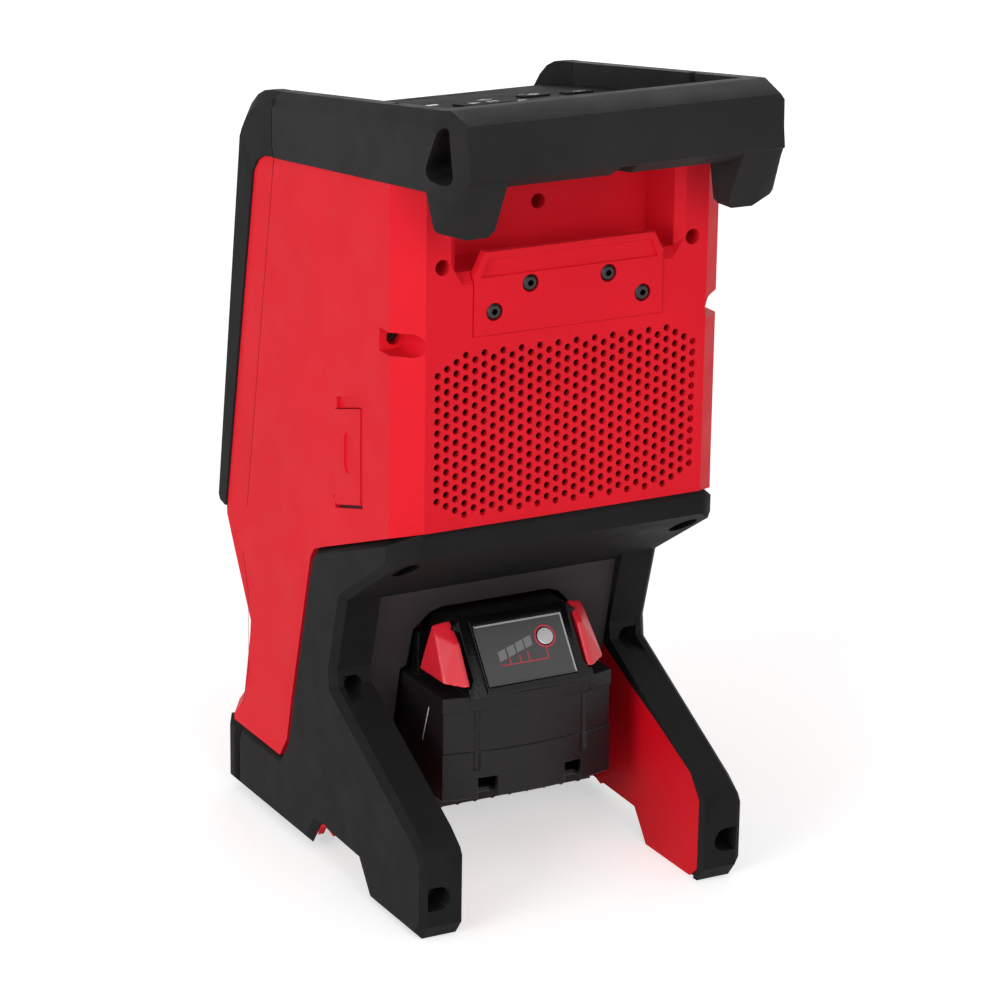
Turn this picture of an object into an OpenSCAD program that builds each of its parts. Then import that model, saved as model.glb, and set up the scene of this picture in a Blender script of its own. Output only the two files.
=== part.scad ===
// Upright jobsite loudspeaker with a slide-in battery pack, a rear carry handle and two rear legs.
// Millimetres. Front is -Y, back is +Y, up is +Z. The origin is at the middle of the footprint,
// on the surface that the speaker stands on.

/* [Housing] */
// Width of the red housing, side to side
body_w = 159; // [156:0.5:162]
// Width of the black bezel, bumper and lower frame
guard_w = 160; // [157:0.5:164]
// Wall of the moulded shells
wall = 3; // [2.4:0.2:3.4]
// Lean of the front face and slope of the top, in degrees
lean = 8.5; // [7.5:0.5:9.5]
// Position of the flat back face
back_y = 70; // [68:0.5:72]

/* [Rear grille] */
// Sideways distance between hole columns
hole_dx = 4.4; // [4.2:0.1:4.6]
// Upright distance between the holes of one column
hole_dz = 5; // [4.6:0.1:5.2]
// Diameter of one hole
hole_d = 3.1; // [2.4:0.1:3.4]
// Height of the middle of the perforated field
field_z = 217; // [214:1:220]

/* [Front grille and drivers] */
// Distance between the hexagonal openings of the front grille
hex_pitch = 8; // [7.5:0.5:10]
// Width of one hexagonal opening, across its flats
hex_flat = 6.6; // [4:0.1:6.8]
// Outer radius of a mid-woofer frame
woofer_r = 36; // [34:1:37]

/* [Handle] */
// Half the width of the hand opening
hand_half = 52.5; // [50:0.5:54]
// Length of the beam's section along the sloping top
beam_t = 24; // [21:1:26]
// Width of each tear-shaped strap hole at its foot
strap_w = 17; // [12:0.5:18]

/* [Port door] */
// Length of the door along the side
door_l = 26.3; // [24:0.1:27]
// Height of the door
door_h = 42; // [38:1:43]
// Gap round the door
door_gap = 0.35; // [0.3:0.05:0.5]

/* [Battery pack] */
// Width of the pack
pack_w = 84.8; // [82:0.2:86]
// Height of the pack's underside
pack_z = 38.6; // [38.2:0.1:39]
// Clearance of the pack in its bay
pack_gap = 0.8; // [0.5:0.1:1.2]

/* [Keys] */
// Width of the four outer keys on the top panel
key_w = 14; // [12:1:15]
// Depth of the four outer keys
key_d = 10; // [8:1:11]
// Width of the play key
play_w = 26; // [22:1:30]
// Depth of the play key
play_d = 15; // [12:1:16]
// How far a key stands proud of the panel
key_proud = 0.9; // [0.6:0.1:1.4]

/* [Hidden] */
$fn = 64;
eps = 0.01;
RED = [0.80, 0.07, 0.10];
BLACK = [0.16, 0.16, 0.165];
SOFT_BLACK = [0.11, 0.11, 0.115];
GREY = [0.36, 0.37, 0.38];
STEEL = [0.62, 0.63, 0.65];
BRASS = [0.78, 0.63, 0.30];
BOARD = [0.05, 0.30, 0.16];
PAPER = [0.13, 0.13, 0.14];
half = body_w / 2;
guard = guard_w / 2;

// Front face: foot of the bezel, and the frame that leans back with it
front_y = -119;
front_z = 140.7;
// Top: height of the sloping top line above the origin
top_z = 349.45;
wing_in = 69;
deck_h = -12.5;
panel_t = 2.5;
panel_h = deck_h + panel_t;
deck_back = 43;

// Handle beam, as distance along the sloping top and height above it
beam_back = 116.2;
beam_front = beam_back - beam_t;
beam_low = -32.5;

// Red housing, seen from the side: every outline is in (y, z)
red_outline = [
    [-104.3, 138.4], [-72.4, 302.7], [-67.7, 308.6], [-61.5, 311.8], [back_y, 327.4],
    [back_y, 176], [59, 172.5], [-4.5, 149], [-12, 146], [-15.5, 141], [-35.6, 66.6],
    [-40.4, 46], [-48, 35.5], [-105.1, 35.5], [-104.5, 42], [-93.6, 52.8], [-86.8, 84.5],
    [-86.3, 89], [-107.3, 125], [-108.7, 136.8]];
// Parting line between the front and rear housings, closed round everything in front of it
front_side = [
    [-50.5, 330], [-50.5, 312], [-89, 130], [-81, 104], [-81, 66], [-88, 46], [-88, 20],
    [-140, 20], [-140, 330]];

// Black front bezel with the front ends of the top wings
bezel_outline = [
    [front_y, front_z], [-92.6, 317.4], [-89.6, 322.8], [-83.5, 330.3], [-77, 335.6],
    [-70.5, 338.6], [-62, 340.4], [-52.5, 341.6], [-52.5, 318], [-50.5, 313.1], [-61.5, 311.8],
    [-67.7, 308.6], [-72.4, 302.7], [-104.3, 138.4], [-108.7, 136.8], [-117.9, 138.6]];

// Its bevelled outer form reaches back to here, as a convex outline
bezel_reach = -40;
bezel_hull = concat(
    [for (i = [0:6]) bezel_outline[i]],
    [on_line(bezel_outline[6], bezel_outline[7], bezel_reach),
     on_line(bezel_outline[15], bezel_outline[14], bezel_reach), bezel_outline[15]]);
bezel_room = concat(
    [[-52.5, 360]], [for (i = [8:13]) bezel_outline[i]],
    [on_line(bezel_outline[13], bezel_outline[14], -116), [-116, 110], [-30, 110], [-30, 360]]);

// Black rear bumper: from the parting line back along the top, round the beam and home
// under the side band
bumper_outline = concat(
    [[-52.5, 341.6], [-52.5, 318], [-50.5, 313.1], [back_y, 327.4], [93, 330.2]],
    [for (p = [[106.4, beam_low], [beam_back, -27.9], [beam_back, -5.8], [103, 0]]) from_top(p)]);

// Black lower frame: arch over the battery bay, neck, leg, foot and front base
frame_outline = [
    [back_y, 176], [back_y + 2, 173.5], [back_y + 2, 166], [16.5, 131], [6.5, 95], [7.5, 87],
    [83.6, 47.4], [92.5, 41], [94.3, 38], [94.3, 7], [89, 0], [44, 0], [33, 14.5], [2, 15.4],
    [-5, 17.5], [-10, 15], [-20.5, 0], [-93.5, 0], [-93.5, 28], [-90, 35.5], [-48, 35.5],
    [-40.4, 46], [-35.6, 66.6], [-15.5, 141], [-12, 146], [-4.5, 149], [59, 172.5]];
arch_outline = [
    [back_y, 176], [back_y + 2, 173.5], [back_y + 2, 166], [16.5, 131], [11, 127.6],
    [6, 127.6], [-12, 146], [-4.5, 149], [59, 172.5]];
foot_outline = [
    [-101, 0], [-106, 4], [-109.7, 23.8], [-105.1, 35.5], [-90, 35.5], [-93.5, 28], [-93.5, 0]];
leg_in = 60.5;
liner_t = 1.5;
liner_outline = [
    [-7.1, 66], [-1.5, 84], [8, 80], [29, 70.8], [52, 61.6], [80.7, 48.7], [89, 38.4], [88.8, 5.2],
    [82.4, 0], [44, 0], [33, 14.5], [2, 15.4], [-7.1, 15.4]];
// Room for it in the leg: as the liner, and past the leg's lower edges
liner_room = concat([for (i = [0:7]) liner_outline[i]], [[82.4, -5], [38, -5], [29, 10], [-7.1, 10]]);
// Lip along the notch behind the side foot
lip_line = [[-13.2, 10.43], [-10, 15], [-5, 17.5], [2, 15.4]];
lip_drop = 1.4;
lip_w = 3;
lip_room = concat(lip_line, [[4, 12], [4, -4], [-26, -4]]);

// Rear recess under the handle
recess_y = 42;
recess_z = 287;
plate_w = 90.6;
plate_z0 = 259.5;
plate_z1 = 295.6;

// Perforated field, set flush in the back wall
field_half_w = 65.3;
field_half_h = 39;
field_cols = 29;

// Drivers on the leaning baffle, as (x, distance up the front face)
woofer_low = [0, 49];
woofer_high = [0, 128];
tweeter_at = [48, 88.5];
tweeter_r = 13;
baffle_y = 7;
baffle_t = 5;

// Port door on the +X side: its frame leans with the lines of the side
door_slope = 15.5;
door_y = 9;
door_z = 172.2;
door_t = 2.4;
pin_r = 0.8;

// Battery pack
pack_back = 46;
pack_front = -76;
pack_half = pack_w / 2;
pack_step = 60.7;
pack_top = 87;
pack_crown_r = 163;
hump_half = 31;
hump_outline = [
    [46.2, 86.5], [45.9, 90.1], [27.2, 115.2], [23, 116.4], [8, 116.2], [0, 113], [0, 86.5]];
hump_crown_r = 220;
release_in = 29.4;
release_travel = 1.5;
label_half = 21.9;
gauge_at = [-11.1, 19.4];
gauge_r = 4;
release_outline = [[42.3, 91], [13.2, 91.6], [16.8, 102.6], [18.8, 114], [22, 115.4], [31.5, 108.2]];
// Outer corners of a release button: rear ridge, then the front edge
release_corners = [
    [40, 36.6, 92.4], [37.7, 22.8, 111], [37.2, 19.4, 113.6], [39, 17.2, 102.6], [40, 13.6, 92.2]];
rail_half = 27;
tower_half = 22;
tower_z = 101;
label_tilt = 36.7;

// Top keys, as (x, distance along the top)
key_at = [[-49, -15], [-30, -20], [0, -8], [30, -20], [49, -15]];

// Point of the sloping top, (distance along it, height above it), as (y, z)
function from_top(p) = [
    p[0] * cos(lean) - p[1] * sin(lean),
    top_z + p[0] * sin(lean) + p[1] * cos(lean)];

// Outline in (y, z), swept along X from x0 to x1 and drawn in by inset
module slab(points, x0, x1, inset = 0) {
    translate([x0, 0, 0])
        rotate([90, 0, 90])
            linear_extrude(x1 - x0)
                offset(delta = -inset)
                    polygon(points);
}

module both_sides() {
    children();
    mirror([1, 0, 0])
        children();
}

// Frame of the sloping top: y runs back along it, z stands square to it
module on_top() {
    translate([0, 0, top_z])
        rotate([lean, 0, 0])
            children();
}

// Frame of the leaning front: y runs back from it, z runs up it
module on_front() {
    translate([0, front_y, front_z])
        rotate([-lean, 0, 0])
            children();
}

// Frame on the front with z pointing out of the front face
module driver_frame(at) {
    on_front()
        translate([at[0], baffle_y, at[1]])
            rotate([90, 0, 0])
                children();
}

// Upright prism that gives a body its sides and chamfered rear corners
module plan(x, y, chamfer_x, chamfer_y) {
    linear_extrude(400)
        polygon([
            [-x, -150], [x, -150], [x, y - chamfer_y], [x - chamfer_x, y], [chamfer_x - x, y],
            [-x, y - chamfer_y]]);
}

module rounded_rect(w, h, r) {
    hull()
        for (sx = [-1, 1], sy = [-1, 1])
            translate([sx * (w / 2 - r), sy * (h / 2 - r)])
                circle(r, $fn = 32);
}

// Cylinder along Y from y0 to y1
module rod_y(x, z, r, y0, y1) {
    translate([x, y1, z])
        rotate([90, 0, 0])
            cylinder(r = r, h = y1 - y0);
}

// Button-head screw pointing along +Z out of its hole, its head's seat at the origin
module screw(head_r, head_h, shank_r, shank_l) {
    difference() {
        union() {
            translate([0, 0, -shank_l])
                cylinder(r = shank_r, h = shank_l + eps);
            cylinder(r = head_r, h = head_h * 0.55);
            translate([0, 0, head_h * 0.55 - eps])
                cylinder(r1 = head_r, r2 = head_r * 0.72, h = head_h * 0.45);
        }
        translate([0, 0, head_h * 0.35])
            cylinder(r = head_r * 0.42, h = head_h, $fn = 6);
    }
}

// Screw that faces the back, its head's seat at (x, y, z)
module screw_back(x, y, z, head_r, head_h, shank_r, shank_l) {
    translate([x, y, z])
        rotate([-90, 0, 0])
            screw(head_r, head_h, shank_r, shank_l);
}

// Red housing

module red_block() {
    difference() {
        intersection() {
            bevelled_slab(red_outline, half, red_bevels, bevel_face);
            plan(half, back_y, 12, 11.2);
        }
        both_sides()
            side_facets();
    }
}

// Hollow of the red housing
module red_core() {
    points = [for (i = [0:19]) if (i != 14 && i != 19) red_outline[i]];
    intersection() {
        bevelled_slab(
            mitred(points, [for (q = points) wall], 1), half - wall,
            [for (i = [0:17]) i < 13 || i > 16 ? 0 : 5.4], bevel_face);
        plan(half - wall, back_y - wall, 12 - wall * 0.42, 11.2 - wall * 0.42);
    }
}

// The front corners below the bezel are bevelled
bevel_face = 5.9;
red_bevels = [for (i = [0:19]) i < 13 || i > 18 ? 0 : i == 18 ? 4.2 : 7.6];
facet_in = 0.5;
facet_slope = 15.4;
facet_z = 167.5;
brow_slope = 7.1;
brow_z = 313.8;

// Flat of the side, set in by the depth of the facets, with a strip that flares out again
// towards the lower frame and one that leans in towards the bumper
module side_facets() {
    translate([half - facet_in, 0, facet_z])
        rotate([facet_slope, 0, 0]) {
            translate([0, -200, 0])
                cube([5, 400, 250]);
            rotate([0, -1.4, 0])
                translate([0, -200, -60])
                    cube([5, 400, 60 + eps]);
        }
    translate([half - facet_in, 0, brow_z])
        rotate([brow_slope, 0, 0])
            rotate([0, -3.5, 0])
                translate([0, -200, 0])
                    cube([5, 400, 40]);
}

// Room taken by the battery bay inside the red housing
module bay_room() {
    translate([-47, -82.6, 34.6])
        cube([94, 120, 72.2]);
}

screw_up = [59.9, 290.9];
pocket_at = [72, 257.8];
pocket_r = 5;
pocket_seat = 44;
centre_screw_z = 306.5;

module front_housing() {
    color(RED)
        difference() {
            intersection() {
                union() {
                    difference() {
                        red_block();
                        red_core();
                        // Open behind the bezel, where the baffle closes it
                        on_front()
                            translate([-half + wall + 0.5, 0, 4])
                                cube([body_w - 2 * wall - 1, 30, 165]);
                    }
                    // Ledge that the baffle is screwed to
                    intersection() {
                        red_block();
                        on_front()
                            difference() {
                                translate([-half, baffle_y + baffle_t, 0])
                                    cube([body_w, 4, 176]);
                                translate([-half + 9, 0, 9])
                                    cube([body_w - 18, 40, 158]);
                            }
                    }
                }
                slab(front_side, -half - 1, half + 1);
            }
            bay_room();
        }
}

module recess_cut(grow) {
    translate([-hand_half - grow, recess_y - grow, recess_z - grow])
        cube([2 * (hand_half + grow), 60, 80]);
}

// Chamfer round the mouth of the recess, with its two lower corners cut off
module recess_mouth() {
    hull() {
        translate([0, back_y - 3.6, 0])
            rotate([90, 0, 0])
                linear_extrude(0.1)
                    polygon([
                        [-hand_half, recess_z], [hand_half, recess_z], [hand_half, 400],
                        [-hand_half, 400]]);
        translate([0, back_y + 0.1, 0])
            rotate([90, 0, 0])
                linear_extrude(0.1)
                    polygon([
                        [-50.5, 282.3], [50.5, 282.3], [56, 291.5], [56, 400], [-56, 400],
                        [-56, 291.5]]);
    }
}

module rear_housing() {
    color(RED)
        difference() {
            union() {
                difference() {
                    red_block();
                    red_core();
                }
                // Walls of the recess, of the pocket behind the plate and round the screws
                intersection() {
                    red_block();
                    union() {
                        recess_cut(wall);
                        both_sides() {
                            rod_y(screw_up[0], screw_up[1], 6.5, 30, back_y);
                            rod_y(pocket_at[0], pocket_at[1], 8.2, 30, back_y);
                        }
                        rod_y(0, centre_screw_z, 6.5, 10, recess_y);
                        // Thicker rim that the perforated field sits in
                        translate([-field_half_w - 4, back_y - 6, field_z - field_half_h - 4])
                            cube([2 * field_half_w + 8, 6, 2 * field_half_h + 8]);
                        // Thicker wall that the hang plate lies on
                        translate([-plate_w / 2 - 3, back_y - 6.5, plate_z0 - 3.2])
                            cube([plate_w + 6, 6.5, 31]);
                        // Bosses for the hang plate's screws
                        for (p = plate_screw_at)
                            rod_y(p[0], p[1], 4.5, 52, back_y);
                    }
                }
            }
            slab(front_side, -half - 1, half + 1);
            bay_room();
            recess_cut(0);
            recess_mouth();
            // Seat of the hang plate
            slab([[66.5, 259.2], [66.5, 300], [80, 300], [80, 259.2]], -plate_w / 2 - 0.3, plate_w / 2 + 0.3);
            for (p = plate_screw_at)
                rod_y(p[0], p[1], 1.6, 55, 80);
            // Screw pockets
            both_sides() {
                rod_y(screw_up[0], screw_up[1], 3.4, 48, 80);
                rod_y(screw_up[0], screw_up[1], 1.7, 20, 80);
                rod_y(pocket_at[0], pocket_at[1], 3.6, pocket_seat, 80);
                rod_y(pocket_at[0], pocket_at[1], pocket_r, 50, 80);
                translate([pocket_at[0], 50, pocket_at[1] - pocket_r])
                    cube([7.7, 30, 2 * pocket_r]);
                rod_y(pocket_at[0], pocket_at[1], 1.7, 20, 80);
            }
            rod_y(0, centre_screw_z, 3.3, 30, 80);
            rod_y(0, centre_screw_z, 1.7, 5, 80);
            // Window behind the perforated field, and the flush seat round it
            translate([-field_half_w, back_y - 2.6, field_z - field_half_h])
                cube([2 * field_half_w, 10, 2 * field_half_h]);
            translate([-field_half_w + 3, back_y - 10, field_z - field_half_h + 3])
                cube([2 * field_half_w - 6, 20, 2 * field_half_h - 6]);
            // Port door: opening, finger scoop and hinge pin hole
            door_frame() {
                door_shape(door_gap, -8, 2);
                door_scoop();
                translate([-pin_in, -4, pin_up])
                    rotate([-90, 0, 0])
                        cylinder(r = pin_r, h = door_l + 20);
                // Relief that the hinge edge turns in
                translate([-pin_in, -door_gap, pin_up])
                    rotate([-90, 0, 0])
                        cylinder(r = pin_in + 1.4, h = door_l * cos(door_slope) + door_gap + 1.5);
            }
        }
}

// Every column of holes is centred on the field's mid-height
module rear_grille() {
    function holes_in(c) = let (m = min(c, field_cols - 1 - c)) m < 3 ? 12 + m : (c % 2 == 1 ? 15 : 14);
    color(RED)
        translate([0, back_y, field_z])
            rotate([90, 0, 0])
                linear_extrude(2.6)
                    difference() {
                        square([2 * field_half_w, 2 * field_half_h], center = true);
                        for (c = [0:field_cols - 1], r = [0:holes_in(c) - 1])
                            translate([
                                (c - (field_cols - 1) / 2) * hole_dx,
                                (r - (holes_in(c) - 1) / 2) * hole_dz])
                                circle(d = hole_d, $fn = 24);
                    }
}

plate_screw_at = [[35.6, 269.3], [-35.6, 269.3], [18.7, 279.8], [-18.7, 279.8]];
plate_y = 66.8;

// Plate with a lip at its top edge, screwed over the pocket in the back
module hang_plate() {
    color(RED)
        difference() {
            translate([0, back_y + 0.6, 0])
                rotate([90, 0, 0])
                    linear_extrude(back_y + 0.6 - plate_y)
                        polygon([
                            [-45.2, plate_z0], [45.2, plate_z0], [45.2, 286.6], [40.5, plate_z1],
                            [-40.5, plate_z1], [-45.2, 286.6]]);
            // Sunk panel inside the lip's rim
            translate([0, back_y + 1.6, 0])
                rotate([90, 0, 0])
                    linear_extrude(2)
                        polygon([[-42.6, 284.6], [42.6, 284.6], [39.2, 292.6], [-39.2, 292.6]]);
            // Slot behind the lip
            translate([-38, plate_y - 1, 288])
                cube([76, 1.9, 20]);
            for (p = plate_screw_at) {
                rod_y(p[0], p[1], 2.1, 60, 75);
                rod_y(p[0], p[1], 3.9, back_y - 1.2, 75);
            }
        }
}

module plate_screws() {
    color(SOFT_BLACK)
        for (p = plate_screw_at)
            screw_back(p[0], back_y - 1.2, p[1], 3.5, 1.9, 1.6, 13);
}

module housing_screws() {
    color(STEEL) {
        both_sides() {
            screw_back(screw_up[0], 48, screw_up[1], 3.2, 2.4, 1.7, 26);
            screw_back(pocket_at[0], pocket_seat, pocket_at[1], 3.2, 2.4, 1.7, 22);
        }
        screw_back(0, 30, centre_screw_z, 3.1, 2.4, 1.7, 22);
    }
}

// Point at this y on the line through a and b
function on_line(a, b, y) = [y, a[1] + (b[1] - a[1]) * (y - a[0]) / (b[0] - a[0])];

// Unit vector into the outline from the edge a to b; outlines run clockwise seen from +X
function inward(a, b) = [b[1] - a[1], a[0] - b[0]] / norm(b - a);

// Outline with edge i moved in by sizes[i] times k, corners mitred
function mitred(points, sizes, k) = [
    for (i = [0:len(points) - 1])
        let (
            n = len(points),
            j = (i + n - 1) % n,
            u = inward(points[j], points[i]),
            v = inward(points[i], points[(i + 1) % n]),
            a = k * sizes[j],
            b = k * sizes[i],
            det = u[0] * v[1] - u[1] * v[0])
            abs(det) < 0.02
                ? points[i] + (u + v) / 2 * max(a, b)
                : points[i] + [a * v[1] - b * u[1], b * u[0] - a * v[0]] / det];

// Prism along X through these rings, each [x, outline]
module rings(list) {
    n = len(list[0][1]);
    last = len(list) - 1;
    polyhedron(
        points = [for (r = list) for (q = r[1]) [r[0], q[0], q[1]]],
        faces = concat(
            [[for (i = [n - 1:-1:0]) i], [for (i = [0:n - 1]) last * n + i]],
            [for (j = [0:last - 1]) for (i = [0:n - 1]) [
                j * n + i, j * n + (i + 1) % n, (j + 1) * n + (i + 1) % n, (j + 1) * n + i]]));
}

// Prism from -x to x, its edge i bevelled at both ends: sizes[i] off the side, face off the face
module bevelled_slab(points, x, sizes, face) {
    tip = mitred(points, sizes, 1);
    rings([[-x, tip], [face - x, points], [x - face, points], [x, tip]]);
}

// Bevel of both wings' top edges along a stretch from a to b
module edge_bevel(a, b, side_size, face_size, x = guard) {
    d = b - a;
    length = norm(d);
    mid_x = -0.42 * face_size;
    mid_y = -0.36 * side_size;
    both_sides()
        translate([x, a[0], a[1]])
            rotate([atan2(d[1], d[0]), 0, 0])
                translate([0, length + 1.5, 0])
                    rotate([90, 0, 0])
                        linear_extrude(length + 3)
                            polygon([
                                [mid_x, mid_y],
                                [1, -side_size - (side_size + mid_y) / -mid_x],
                                [2, 1],
                                [-face_size - (face_size + mid_x) / -mid_y, 1]]);
}

// Front: bezel, grille, baffle and gasket

guard_side = 6.8;
guard_face = 4.9;

window_half = 65;
window_v0 = 13;
window_v1 = 165;

module front_bezel() {
    color(BLACK)
        difference() {
            bevelled_slab(
                bezel_hull, guard, [for (i = [0:9]) i == 7 ? 0 : i == 8 ? 2 : guard_side], guard_face);
            slab(bezel_room, -guard - 3, guard + 3);
            trough(-140, -45);
            // Window, with a seat for the grille behind the front rim
            on_front() {
                translate([-window_half, -1, window_v0])
                    cube([2 * window_half, 40, window_v1 - window_v0]);
                translate([-window_half - 3, 2.2, window_v0 - 3])
                    cube([2 * window_half + 6, 40, window_v1 - window_v0 + 6]);
                // Hollow behind, where the baffle and the red housing enter
                translate([-half + 2.5, baffle_y - 1.5, 4])
                    cube([body_w - 5, 40, 168]);
            }
            // Hollow under the deck
            on_top()
                translate([-wing_in + 4, -72, deck_h - 24])
                    cube([2 * wing_in - 8, 60, 21]);
        }
}

// Room between the top wings, down to the deck that carries the panel, from s0 to s1
module trough(s0, s1) {
    on_top()
        translate([-wing_in, s0, deck_h])
            cube([2 * wing_in, s1 - s0, 60]);
}

module front_grille() {
    rows = floor((window_v1 - window_v0 - 4) / (hex_pitch * 0.866));
    cols = floor((2 * window_half - 8) / hex_pitch);
    color(SOFT_BLACK)
        on_front()
            translate([0, 3.6, (window_v0 + window_v1) / 2])
                rotate([90, 0, 0])
                    linear_extrude(1.2)
                        difference() {
                            square([2 * window_half + 5, window_v1 - window_v0 + 5], center = true);
                            for (r = [0:rows - 1], c = [0:cols - 1 - r % 2])
                                translate([
                                    (c - (cols - 1 - r % 2) / 2) * hex_pitch,
                                    (r - (rows - 1) / 2) * hex_pitch * 0.866])
                                    rotate(30)
                                        circle(r = hex_flat / sqrt(3), $fn = 6);
                        }
}

module speaker_baffle() {
    color(BLACK)
        difference() {
            on_front()
                translate([-half + 5, baffle_y, 6])
                    cube([body_w - 10, baffle_t, 164]);
            for (p = [woofer_low, woofer_high])
                driver_frame(p) {
                    translate([0, 0, -10])
                        cylinder(r = woofer_r - 4, h = 20);
                    translate([0, 0, -1.5])
                        cylinder(r = woofer_r + 0.2, h = 5);
                }
            both_sides()
                driver_frame(tweeter_at)
                    translate([0, 0, -10])
                        cylinder(r = tweeter_r - 2, h = 20);
        }
}

module front_gasket() {
    color(SOFT_BLACK)
        on_front()
            difference() {
                translate([-half + 5, baffle_y - 1.5, 6])
                    cube([body_w - 10, 1.5, 164]);
                translate([-half + 11, baffle_y - 5, 12])
                    cube([body_w - 22, 10, 152]);
            }
}

// Rear bumper with the wings, the deck, the handle beam and its two claws

// Tear-shaped outline: round top, wide foot with rounded corners
module tear(w, tall) {
    hull() {
        for (x = [-1, 1])
            translate([x * (w / 2 - 4) - 0.4, 4])
                circle(4, $fn = 32);
        translate([2.6, tall - 3.8])
            circle(3.8, $fn = 32);
    }
}

// Upright prism whose rear corners are cut at the angle of the beam's ends
module plan_corner() {
    linear_extrude(400)
        polygon([
            [-guard, -150], [guard, -150], [guard, 104.5], [73.3, 117.8], [73.3, 140],
            [-73.3, 140], [-73.3, 117.8], [-guard, 104.5]]);
}

// Corners of one claw, from the beam down to its rounded toe
claw_corners = [
    [53.5, 91.3, 335], [guard, 93.1, 330.6], [79.6, 105.4, 332.4], [73.3, 117.9, 340],
    [55, 117.9, 340], [guard, 100.2, 316.2], [77.4, 102, 314.9], [67.4, 104.3, 311.4],
    [57.4, 104.3, 311.5], [55, 105.8, 314.8], [55.2, 93.5, 313.6], [57.4, 93.5, 311.2],
    [70, 93.8, 311.4], [76, 96, 313.4]];

module claw() {
    hull()
        for (p = claw_corners)
            translate(p - [0.1, 0, 0])
                cube(0.1);
}

// Hand opening: from the deck back to the beam, and everything under the beam
grip_y = 47;

module hand_opening() {
    slab(concat([[grip_y, 372], [grip_y, 280], [130, 280]],
        [for (p = [
            [125, beam_low + 0.3], [beam_front + 4, beam_low + 0.3], [beam_front, -27],
            [beam_front, 9]]) from_top(p)]), -hand_half, hand_half);
}

beam_section = [
    [beam_front, 0], [103, 0], [beam_back, -5.8], [beam_back, -27.9], [106.4, beam_low],
    [beam_front + 4, beam_low], [beam_front, -27]];

// Void that keeps the beam's wall even
module beam_core() {
    on_top()
        slab(beam_section, -hand_half + 6, hand_half - 6, 4);
}

// Half-space outside the small facet where the top, the side and the beam's end meet:
// it passes through this point of the sloping top, square to this direction
corner_at = [75.6, 97.8, -0.25];
corner_dir = [0.801, 0.290, 0.523];

module corner_facet() {
    on_top()
        translate(corner_at)
            rotate([0, acos(corner_dir[2]), atan2(corner_dir[1], corner_dir[0])])
                translate([-30, -30, 0])
                    cube([60, 60, 30]);
}

strap_at = [79.6, 102.8, 335.7];
strap_turn = 63.3;
strap_tall = 22.8;

module strap_hole() {
    intersection() {
        translate(strap_at)
            rotate([90, 0, 180 - strap_turn])
                translate([0, 0, -60])
                    linear_extrude(80)
                        tear(strap_w, strap_tall);
        translate([hand_half - 0.1, 0, 300])
            cube([60, 200, 100]);
    }
}

// Straight top edges of the wings, as distance along the top
wing_edge = [from_top([-52, 0]), from_top([103, 0])];

module rear_bumper() {
    color(BLACK)
        difference() {
            union() {
                difference() {
                    intersection() {
                        slab(bumper_outline, -guard, guard);
                        plan_corner();
                    }
                    hand_opening();
                    beam_core();
                    // Room between the housing's back and the claws
                    translate([-66, back_y, 300])
                        cube([132, 40, 31.5]);
                }
                both_sides()
                    claw();
            }
            trough(-120, beam_front - 0.3);
            // Slanted slots in the inner faces of the wings
            on_top()
                both_sides()
                    translate([wing_in - eps, 50, -9.5])
                        rotate([15, 0, 0])
                            cube([3, 5, 14]);
            // Hollow under the deck
            on_top()
                translate([-wing_in + 4, -60, deck_h - 24])
                    cube([2 * wing_in - 8, 60 + deck_back - 10, 21]);
            // The keys and the lens reach through the deck
            on_top()
                translate([-60, -48, deck_h - 20])
                    cube([120, 68, 40]);
            edge_bevel(wing_edge[0], wing_edge[1], guard_side, guard_face);
            both_sides() {
                corner_facet();
                strap_hole();
            }
            // Small notch under the middle of the beam
            translate([0, 100, 333])
                rotate([-90, 0, 0])
                    linear_extrude(30)
                        polygon([[-6, 3], [6, 3], [3.4, -5.2], [-3.4, -5.2]]);
        }
}

// Top panel, keys and lens

panel_front = -80.5;
panel_back = 42.4;
panel_crease = -42;
lens_at = [16.5, -26];

// Size of the key at place i of key_at
function key_size(i) = i == 2 ? [play_w, play_d] : [key_w, key_d];

module key_outline(i, grow) {
    rounded_rect(key_size(i)[0] + 2 * grow, key_size(i)[1] + 2 * grow, 2.6 + grow);
}

module control_panel() {
    color(SOFT_BLACK)
        difference() {
            on_top()
                slab([[panel_front, deck_h], [panel_back, deck_h], [panel_back, panel_h],
                    [panel_crease, panel_h], [panel_front, panel_h - 1.2]], -wing_in + 0.2, wing_in - 0.2);
            on_top() {
                for (i = [0:4])
                    translate([key_at[i][0], key_at[i][1], deck_h - 5])
                        linear_extrude(20)
                            key_outline(i, 0.3);
                translate([lens_at[0] - 2.6, lens_at[1] - 1.6, deck_h - 5])
                    cube([5.2, 3.2, 20]);
                // Row of sound slots in front of the crease
                for (i = [0:8])
                    translate([4 - i * 4, -74, panel_h - 2.6])
                        cube([1.6, 6, 4]);
            }
        }
}

// Key with a stem down to its switch on the board
module key(i) {
    color(SOFT_BLACK)
        on_top()
            translate([key_at[i][0], key_at[i][1], 0]) {
                translate([0, 0, deck_h - 1.6])
                    linear_extrude(panel_t + 1.6 + key_proud)
                        key_outline(i, 0);
                translate([0, 0, deck_h - 7.2])
                    cylinder(r = 2, h = 6);
            }
}

module status_lens() {
    color([0.85, 0.86, 0.88])
        on_top()
            translate([lens_at[0] - 2.6, lens_at[1] - 1.6, deck_h])
                cube([5.2, 3.2, panel_t + 0.2]);
}

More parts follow.
